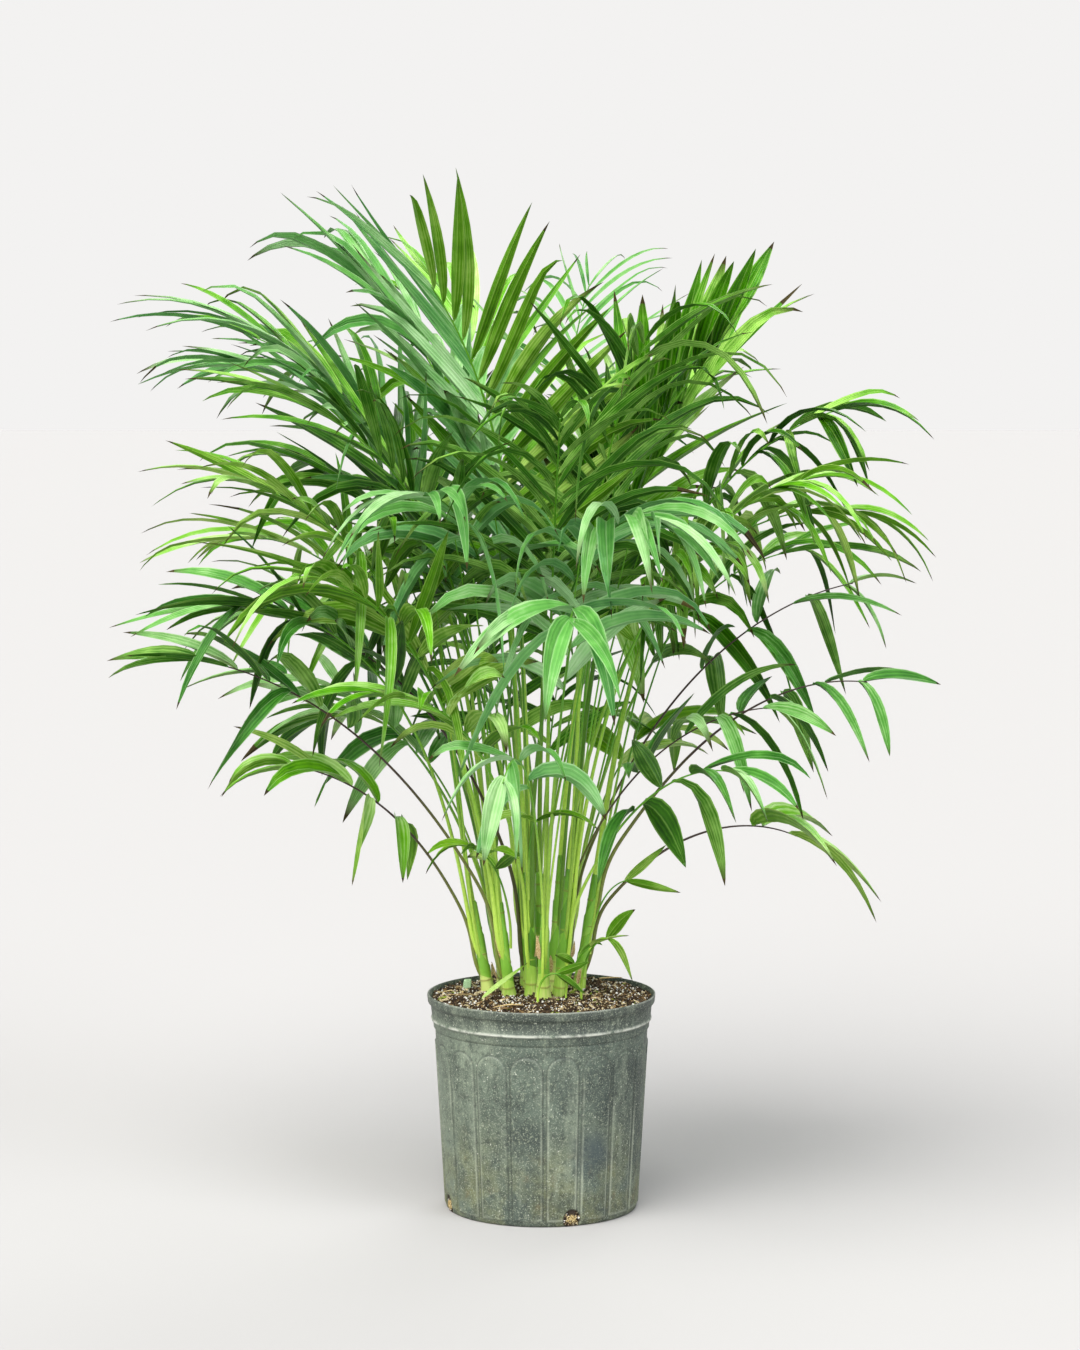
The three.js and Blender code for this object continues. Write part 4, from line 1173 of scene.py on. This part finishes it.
# Weathered plastic is dull: it shows its relief by shade, with no clear highlight.
pot_skin, tree, shader = new_material("moulded polypropylene, weathered", Roughness=0.62, IOR=1.49)
place = add(tree, "ShaderNodeTexCoord", out="Object")
drawn = add(tree, "ShaderNodeMapping", inputs={"Vector": place, "Scale": DRAWN_OUT})
pot_x = add(tree, "ShaderNodeSeparateXYZ", inputs={"Vector": place}, out="X")
pot_z = pot_x.node.outputs["Z"]
apart = {0: place, 1: DARK_PATCH}
away = add(tree, "ShaderNodeVectorMath", {"operation": "DISTANCE"}, apart, out="Value")
parts = {
    "left": (pot_x, 0.01, -0.11),
    "low": (pot_z, 0.13, 0.01),
    "lip": (pot_z, 0.214, 0.222),
    "patch": (away, 0.034, 0.006),
}  # each is 0 at the first number, in metres, and 1 at the second
on = {}
for name, (value, none, full) in parts.items():
    cut = {"Value": value, "From Min": none, "From Max": full}
    on[name] = add(tree, "ShaderNodeMapRange", CLAMPED, cut)
for name in marks:
    on[name] = add(tree, "ShaderNodeAttribute", {"attribute_name": name}, out="Fac")

# %% The coats and the pot
# Each row is a colour, its strength, where it lies, and the grains in a metre, the detail and
# the limits of its patches: 11 grains in a metre are 90 mm across each, and 620 are 1.6 mm.
coats = (
    ("#8b9a84", 0.42, "left", None),  # painted light: paler on the left side, towards the key lamp
    ("#7d8a78", 0.4, "drawn", (20, 5, 0.5, 0.66)),  # lime streaks
    ("#6e6d3a", 0.75, "low", (22, 5, 0.42, 0.66)),  # algae
    ("#6b5836", 0.7, "low", (60, 4, 0.6, 0.72)),  # brown stains
    ("#2c332e", 0.6, "lip", None),
    ("#2b3531", 0.5, None, (34, 6, 0.47, 0.62)),
    ("#87927f", 0.4, "drawn", (52, 6, 0.52, 0.66)),  # finer lime streaks
    ("#252e2a", 0.5, None, (150, 4, 0.5, 0.64)),
    ("#a9b19c", 0.6, None, (620, 2, 0.54, 0.72)),  # speckles of dust
    ("#98a189", 0.5, None, (240, 3, 0.6, 0.7)),
    ("#d0d4c4", 0.8, None, (330, 2, 0.68, 0.74)),  # few and nearly white
    ("#35434a", 0.7, "patch", None),
    # painted shade in the grooves beside the panes
    ("#2a312c", 0.55, "groove_shade", None),
    # the pane edges: scuffs, and a painted highlight where they catch the light
    ("#a7ae9c", 0.5, "edge", (9, 4, 0.42, 0.62)),
    ("#cfd2c6", 0.9, "scuff", (70, 4, 0.38, 0.56)),
    ("#2b2014", 1.0, "plug", None),
)
blend = patches(tree, place, 11, 6, 0.4, 0.6)
body = paint_over(tree, linear("#333e3a"), "#515e54", 1.0, blend)
for colour, strength, where, pattern in coats:
    shares = [on[where]] if where in on else []
    if pattern:
        shares.append(patches(tree, drawn if where == "drawn" else place, *pattern))
    body = paint_over(tree, body, colour, strength, *shares)
tree.links.new(body, shader.inputs["Base Color"])
grain = {"Vector": place, "Scale": 500, "Detail": 3, "Roughness": 0.6}  # 2 mm, coarser than real
grain = add(tree, "ShaderNodeTexNoise", inputs=grain)
bump = add(tree, "ShaderNodeBump", inputs={"Height": grain, "Strength": 0.35, "Distance": 0.0005})
tree.links.new(bump, shader.inputs["Normal"])

pot_piece = new_piece(
    "pot_weathered",
    pot_points.reshape(-1, 3),
    loft_faces(1, len(profile_z), AROUND, pointed=False),
    [pot_skin],
    values=marks,
)
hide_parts("pot")

# %% [markdown]
# ## Potting mix
# The mix is a peaty brown with chips of pine bark, white grains of perlite and crumbs of peat.
# Its surface is a lumpy disc, a height above each point of a polar grid. Everything on it is
# scattered as joined copies of three small shapes: a crumb of eight faces, a round grain of
# twenty, and a flat chip of twelve, each turned, stretched and sunk a little at random.

# %% The surface of the mix
SOIL_AROUND = 260
SOIL_RINGS = 80
WAVES = 90
WAVE_SIZES = 4, 45  # mm, the shortest and the longest
soil_edge = float(inner_radius(SOIL_TOP - SOIL_EDGE_DROP)) - 0.2
soil_luck = np.random.default_rng(5)
wave_size = np.exp(soil_luck.uniform(*np.log(WAVE_SIZES), WAVES))
wave_way = soil_luck.uniform(0, 2 * math.pi, WAVES)
wave_phase = soil_luck.uniform(0, 2 * math.pi, WAVES)


def soil_height(x, y):
    """The level of the mix less its fall to the rim, plus ninety small waves of random length,
    way and phase, each as high as 0.028 times its length to the power of 0.75."""
    outer = (np.hypot(x, y) - SOIL_LEVEL_RADIUS) / (soil_edge - SOIL_LEVEL_RADIUS)
    fall = SOIL_EDGE_DROP * smooth_step(outer) * 0.55
    run = x[..., None] * np.cos(wave_way) + y[..., None] * np.sin(wave_way)
    waves = np.sin(2 * math.pi * run / wave_size + wave_phase) * 0.028 * wave_size**0.75
    return SOIL_TOP - 0.6 - fall + waves.sum(-1)


radius = soil_edge * np.sqrt(np.linspace(0.0004, 1, SOIL_RINGS))[:, None]
turn = 2 * math.pi * np.arange(SOIL_AROUND) / SOIL_AROUND
x, y = radius * np.cos(turn), radius * np.sin(turn)
top = np.stack([x, y, soil_height(x, y)], -1)
under_z = np.array([POT_HEIGHT - 30, FLOOR + 0.3])
under_r = (inner_radius(under_z) - 0.3)[:, None]
under_z = under_z[:, None] + 0 * turn
under = np.stack([under_r * np.cos(turn), under_r * np.sin(turn), under_z], -1)
points = np.concatenate([under[::-1], top[::-1]])

# %% The finish of the mix
# Damp peat has no shine, only lumps about 6 mm across, 17 mm patches and pale 1.4 mm fibres.
soil_skin, tree, shader = new_material("potting mix, damp peat", Roughness=0.95, IOR=1.4)
place = add(tree, "ShaderNodeTexCoord", out="Object")
lumps = patches(tree, place, 170, 4, 0.4, 0.62)
body = paint_over(tree, linear("#1e150d"), "#4a3826", 1.0, lumps)
body = paint_over(tree, body, "#5b4c30", 0.5, patches(tree, place, 60, 3, 0.55, 0.68))
body = paint_over(tree, body, "#8d7a58", 0.8, patches(tree, place, 700, 2, 0.62, 0.7))
tree.links.new(body, shader.inputs["Base Color"])
grain = {"Vector": place, "Scale": 320, "Detail": 5, "Roughness": 0.6}
grain = add(tree, "ShaderNodeTexNoise", inputs=grain)
bump = add(tree, "ShaderNodeBump", inputs={"Height": grain, "Strength": 0.9, "Distance": 0.002})
tree.links.new(bump, shader.inputs["Normal"])
faces = loft_faces(1, len(points), SOIL_AROUND, pointed=False)
piece = new_piece("mix_surface", points.reshape(-1, 3), faces, [soil_skin])
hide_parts("soil")

# %% Three small shapes
golden = (1 + math.sqrt(5)) / 2
CRUMB = (
    np.array([(1, 0, 0), (0, 1, 0), (-1, 0, 0), (0, -1, 0), (0, 0, 1), (0, 0, -1)], float),
    np.array([(0, 1, 4), (1, 2, 4), (2, 3, 4), (3, 0, 4), (1, 0, 5), (2, 1, 5), (3, 2, 5), (0, 3, 5)]),
)
GRAIN = (
    np.array([(-1, golden, 0), (1, golden, 0), (-1, -golden, 0), (1, -golden, 0),
              (0, -1, golden), (0, 1, golden), (0, -1, -golden), (0, 1, -golden),
              (golden, 0, -1), (golden, 0, 1), (-golden, 0, -1), (-golden, 0, 1)])
    / math.hypot(1, golden),
    np.array([(0, 11, 5), (0, 5, 1), (0, 1, 7), (0, 7, 10), (0, 10, 11), (1, 5, 9), (5, 11, 4),
              (11, 10, 2), (10, 7, 6), (7, 1, 8), (3, 9, 4), (3, 4, 2), (3, 2, 6), (3, 6, 8),
              (3, 8, 9), (4, 9, 5), (2, 4, 11), (6, 2, 10), (8, 6, 7), (9, 8, 1)]),
)
CHIP = (
    np.array([(-1, -0.7, -0.5), (0.9, -1, -0.5), (1, 0.8, -0.5), (-0.8, 1, -0.5),
              (-0.8, -0.6, 0.5), (0.7, -0.8, 0.4), (0.8, 0.6, 0.6), (-0.9, 0.7, 0.4)], float),
    np.array([(0, 2, 1), (0, 3, 2), (4, 5, 6), (4, 6, 7), (0, 1, 5), (0, 5, 4), (1, 2, 6), (1, 6, 5),
              (2, 3, 7), (2, 7, 6), (3, 0, 4), (3, 4, 7)]),
)  # each is its corners, and its faces as rows of corner numbers

# %% Turning and scattering them
def turned(luck, count, most_tilt):
    """Random turns: all the way round upright, after tilts of up to most_tilt about X and Y."""
    a, b, c = luck.uniform(-1, 1, (3, count)) * np.array([[math.pi], [most_tilt], [most_tilt]])
    zero, one = np.zeros(count), np.ones(count)
    spin = np.array([[np.cos(a), -np.sin(a), zero], [np.sin(a), np.cos(a), zero], [zero, zero, one]])
    nod = np.array([[one, zero, zero], [zero, np.cos(b), -np.sin(b)], [zero, np.sin(b), np.cos(b)]])
    roll = np.array([[np.cos(c), zero, np.sin(c)], [zero, one, zero], [-np.sin(c), zero, np.cos(c)]])
    return np.einsum("ijn,jkn,kln->nil", spin, nod, roll)


def scatter(name, shape, seed, count, sizes, stretch, tilt, proud, skins, shares):
    """Copies of a shape over the mix, at even random places, sized between the two sizes with
    small ones the more common, lifted by a share of their height, and dealt skins by shares."""
    luck = np.random.default_rng(seed)
    corners, faces = shape
    radius = (soil_edge - 1.5) * np.sqrt(luck.random(count))
    bearing = luck.uniform(0, 2 * math.pi, count)
    x, y = radius * np.cos(bearing), radius * np.sin(bearing)
    size = sizes[0] * (sizes[1] / sizes[0]) ** (luck.random(count) ** 2)
    local = corners * np.array(stretch) * (1 + 0.28 * luck.uniform(-1, 1, (count, *corners.shape)))
    turns = turned(luck, count, tilt)
    points = np.einsum("nij,nkj->nki", turns, local * size[:, None, None] / 2)
    at = np.stack([x, y, soil_height(x, y) + size * stretch[2] * proud], -1)
    points = points + at[:, None]
    faces = faces[None] + (len(corners) * np.arange(count))[:, None, None]
    kinds = np.repeat(luck.choice(len(skins), count, p=shares), faces.shape[1])
    piece = new_piece(name, points.reshape(-1, 3), [faces.reshape(-1, 3)], skins, kinds)
    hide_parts("soil")

# %% Crumbs, chips and grains
def bit_skin(name, dark, light, roughness=0.9):
    """A rough bit of the mix, with two tones mixed by fine noise."""
    material, tree, shader = new_material(name, Roughness=roughness, IOR=1.4)
    place = add(tree, "ShaderNodeTexCoord", out="Object")
    grain = {"Vector": place, "Scale": 900.0, "Detail": 2.0}  # about 1 mm
    fine = add(tree, "ShaderNodeTexNoise", inputs=grain)
    ramp = add(tree, "ShaderNodeValToRGB", inputs={"Fac": fine})
    tree.links.new(stops(ramp, (0.35, dark), (0.65, light)), shader.inputs["Base Color"])
    return material


# All bits are matt. Peat and humus are dark, bark is a warm brown, and perlite a bright white.
peat = bit_skin("peat crumb, dark and fibrous", "#2a1d12", "#5c4930")
humus = bit_skin("humus crumb, nearly black", "#16110a", "#33271a")
bark = bit_skin("pine bark chip, brown", "#5c452a", "#93774c")
tan_bark = bit_skin("pine bark chip, dry tan", "#a18d66", "#d6c8a4")
perlite = bit_skin("perlite, white and porous", "#cfccc2", "#f4f3ee")
moss = bit_skin("moss, yellow green", "#56641c", "#8d9a3a")
scatter(
    "mix_crumbs", CRUMB, seed=21, count=7500, sizes=(1.3, 4.6), stretch=(1, 0.85, 0.7), tilt=3.0,
    proud=0.15, skins=[peat, humus, bark, tan_bark], shares=[0.36, 0.36, 0.14, 0.14],
)
scatter(
    "mix_chips", CHIP, seed=22, count=1300, sizes=(2.4, 9.5), stretch=(1, 0.42, 0.2), tilt=0.5,
    proud=0.8, skins=[bark, tan_bark, peat, moss], shares=[0.36, 0.36, 0.2, 0.08],
)
scatter(
    "mix_perlite", GRAIN, seed=23, count=1900, sizes=(1.0, 3.7), stretch=(1, 0.9, 0.8), tilt=3.0,
    proud=0.25, skins=[perlite, tan_bark], shares=[0.8, 0.2],
)

# %% [markdown]
# ## Dead scraps and fallen bits
# Old sheaths dry to brown paper and hang on round the feet of the canes. On the mix lie a
# yellowing leaf blade, some straws of dead leaf stalk and the stub of a cut one. The thin ones
# are blades like the leaflets, only short, stiff and of other colours.

# %% Dead scraps and fallen bits
def stiff_blades(name, seed, skin, nodes, base, start, face, length, width, droop):
    """Blades at chosen places: the leaflets' own shape, with the same droop for all."""
    luck = np.random.default_rng(seed)
    count = len(base)
    full = lambda value: np.broadcast_to(np.asarray(value, float), count).copy()
    rows = dict(
        frond=np.zeros(count, int),
        base=np.asarray(base, float),
        start=unit(np.asarray(start, float)),
        face=unit(np.asarray(face, float)),
        length=full(length),
        width=full(width),
        droop=full(droop),
        bow=0.25 * luck.normal(0, 1, count),
        twist=0.3 * luck.normal(0, 1, count),
        curl=full(0),
        hang=full(0),
        tone=luck.uniform(-1, 1, count),
        shift=luck.uniform(-1, 1, count),
    )
    points, uv, tone = grow_blades(rows)
    faces = loft_faces(count, len(BLADE_RINGS), BLADE_SIDES, pointed=True)
    piece = new_piece(name, points, faces, [skin], uv=uv, values={"tone": tone})
    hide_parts(*nodes)


def on_mix(x, y, above):
    """A point at a place over the mix, so many millimetres above its surface."""
    return x, y, float(soil_height(np.array(x), np.array(y))) + above

# %% Scraps of old sheaths
husk_luck = np.random.default_rng(77)
husk_bases, husk_starts, husk_faces = [], [], []
for cane in canes:
    side, face = cane_frame(cane)
    turn = math.radians(270 - cane["bearing"]) + husk_luck.uniform(-1.2, 1.2)
    high = husk_luck.uniform(6, 55)
    out = side * math.cos(turn) + face * math.sin(turn)
    husk_bases.append(cane["foot"] + cane["along"] * high + out * CANE_RADIUS)
    husk_starts.append(cane["along"] + out * husk_luck.uniform(0.06, 0.3))
    husk_faces.append(out)
# A dead sheath is dry, matt brown paper.
husk = bit_skin("palm sheath, dead brown paper", "#a88850", "#e6d3a2")
stiff_blades(
    "husk_scraps", 78, husk, [f"cane_{cane['index'] + 1:02d}" for cane in canes],
    husk_bases, husk_starts, husk_faces,
    length=husk_luck.uniform(10, 32, CANES), width=husk_luck.uniform(2.5, 6, CANES), droop=0.0,
)

# %% The fallen blade and the straws
FALLEN_PLACE = (-66.0, -54.0)
FALLEN_WAY = (0.8, 0.5, 0.55)
FALLEN_FACE = (0.0, -0.6, 0.8)
stiff_blades(
    "fallen_blade", 79, GREENS["young"], ["soil"],
    [on_mix(*FALLEN_PLACE, 2.5)], [FALLEN_WAY], [FALLEN_FACE], length=72, width=7, droop=0.15,
)
STRAWS = (
    (-112, 10, 30), (-70, -26, 175), (-98, 44, -20), (-88, -8, 80), (84, -40, 140), (60, 62, 10),
    (-20, -88, 200),
)  # place on the mix in mm, and bearing
straw_bases = [on_mix(x, y, 2.0) for x, y, _ in STRAWS]
straw_ways = np.array([heading(bearing, 84) for _, _, bearing in STRAWS])
stiff_blades(
    "dead_straws", 80, husk, ["soil"],
    straw_bases, straw_ways, [UP] * len(STRAWS), length=36, width=3.2, droop=0.25,
)

# %% The stub of a cut stalk
STUB_PLACE = (-84.0, 26.0)
STUB_SIZE = (4.6, 1.6, 13.0)  # half width, half thickness and height of the flat stub
STUB_ROUND = 20
STUB_LEAN = 0.12
stub_levels = np.array([-3.0, 0.0, 4.0, 9.0, 11.8, 12.6, STUB_SIZE[2]])
stub_taper = np.array([1.0, 1.0, 0.98, 0.97, 0.93, 0.84, 0.6])[:, None, None]
a = 2 * math.pi * np.arange(STUB_ROUND) / STUB_ROUND
cos_sin = np.stack([np.cos(a), np.sin(a)], -1)
outline = np.sign(cos_sin) * np.abs(cos_sin) ** 0.6  # between an oval and a rectangle
stub = outline * stub_taper * np.array(STUB_SIZE[:2]) + np.array(STUB_PLACE)
stub_z = np.repeat(stub_levels, STUB_ROUND).reshape(-1, STUB_ROUND, 1) + on_mix(*STUB_PLACE, 0)[2]
stub = np.concatenate([stub, stub_z], -1)
stub[..., 0] += stub_levels[:, None] * STUB_LEAN
faces = loft_faces(1, len(stub_levels), STUB_ROUND, pointed=False)
# The cut stalk is smoother than the mix and paler than the living ones.
stub_skin = bit_skin("cut stalk stub, pale green", "#8fb886", "#bcdab0", 0.6)
piece = new_piece("stalk_stub", stub.reshape(-1, 3), faces, [stub_skin])
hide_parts("soil")

# %% [markdown]
# ## Drain holes
# Roots and mix push out of the four holes at the foot of the wall. Crumbs fill each hole to just
# inside the wall's outer face, and a few pale roots cross it.

# %% Crumbs in the drain holes
BITS_A_HOLE = 170
ROOTS_A_HOLE = 12
ROOT_RADIUS = 0.42
ROOT_SIDES = 6
plug_luck = np.random.default_rng(91)
plug_bearings = DRAIN_BEARING + 360 / DRAIN_HOLES * np.arange(DRAIN_HOLES)

bit_bearing = np.repeat(plug_bearings, BITS_A_HOLE)
count = len(bit_bearing)
away = (DRAIN_RADIUS - 0.4) * np.sqrt(plug_luck.random(count))
turn = plug_luck.uniform(0, 2 * math.pi, count)
across, z = away * np.cos(turn), np.maximum(1.9, DRAIN_HEIGHT + 1.15 * away * np.sin(turn))
out, beside = heading(bit_bearing, 90), heading(bit_bearing + 90, 90)
centre = out * (BASE_RADIUS - 1.6) + beside * across[:, None] + UP * z[:, None]
size = plug_luck.uniform(0.7, 1.8, count)
corners, faces = CRUMB
turns = turned(plug_luck, count, 3.0)
bits = np.einsum("nij,nkj->nki", turns, corners * size[:, None, None]) + centre[:, None]
bit_kinds = np.repeat(plug_luck.choice(4, count, p=[0.3, 0.2, 0.38, 0.12]), len(faces))
faces = (faces[None] + (len(corners) * np.arange(count))[:, None, None]).reshape(-1, 3)
bit_skins = [peat, tan_bark, humus, perlite]
piece = new_piece("drain_plugs", bits.reshape(-1, 3), [faces], bit_skins, bit_kinds)
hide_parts("soil")

# %% Roots in the drain holes
# Roots are woody, with a little shine where they are wet.
root_skin = bit_skin("palm root, pale and woody", "#87703f", "#c9b684", 0.7)
root_bearing = np.repeat(plug_bearings, ROOTS_A_HOLE)
count = len(root_bearing)
t = np.linspace(-1, 1, 14)
slant = plug_luck.uniform(0, math.pi, count)[:, None]
bend = plug_luck.uniform(-3, 3, count)[:, None]
off = bend * (1 - t * t) + plug_luck.uniform(-3, 3, count)[:, None]
reach = DRAIN_RADIUS * 0.8
across = reach * t * np.cos(slant) + off * np.sin(slant)
z = np.maximum(1.0, DRAIN_HEIGHT + reach * t * np.sin(slant) - off * np.cos(slant) * 0.6)
depth = BASE_RADIUS - 2.6 + 2.9 * (1 - t * t)
out, beside = heading(root_bearing, 90)[:, None], heading(root_bearing + 90, 90)[:, None]
at = out * (depth + 0 * across)[..., None] + beside * across[..., None] + UP * z[..., None]
along = unit(np.gradient(at, axis=1))
side = unit(np.cross(along, out))
ring = grow_tubes(at, side, np.cross(along, side), ROOT_RADIUS + 0 * across, ROOT_SIDES)
faces = loft_faces(count, len(t), ROOT_SIDES, pointed=False)
piece = new_piece("drain_roots", ring.reshape(-1, 3), faces, [root_skin])
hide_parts("soil")
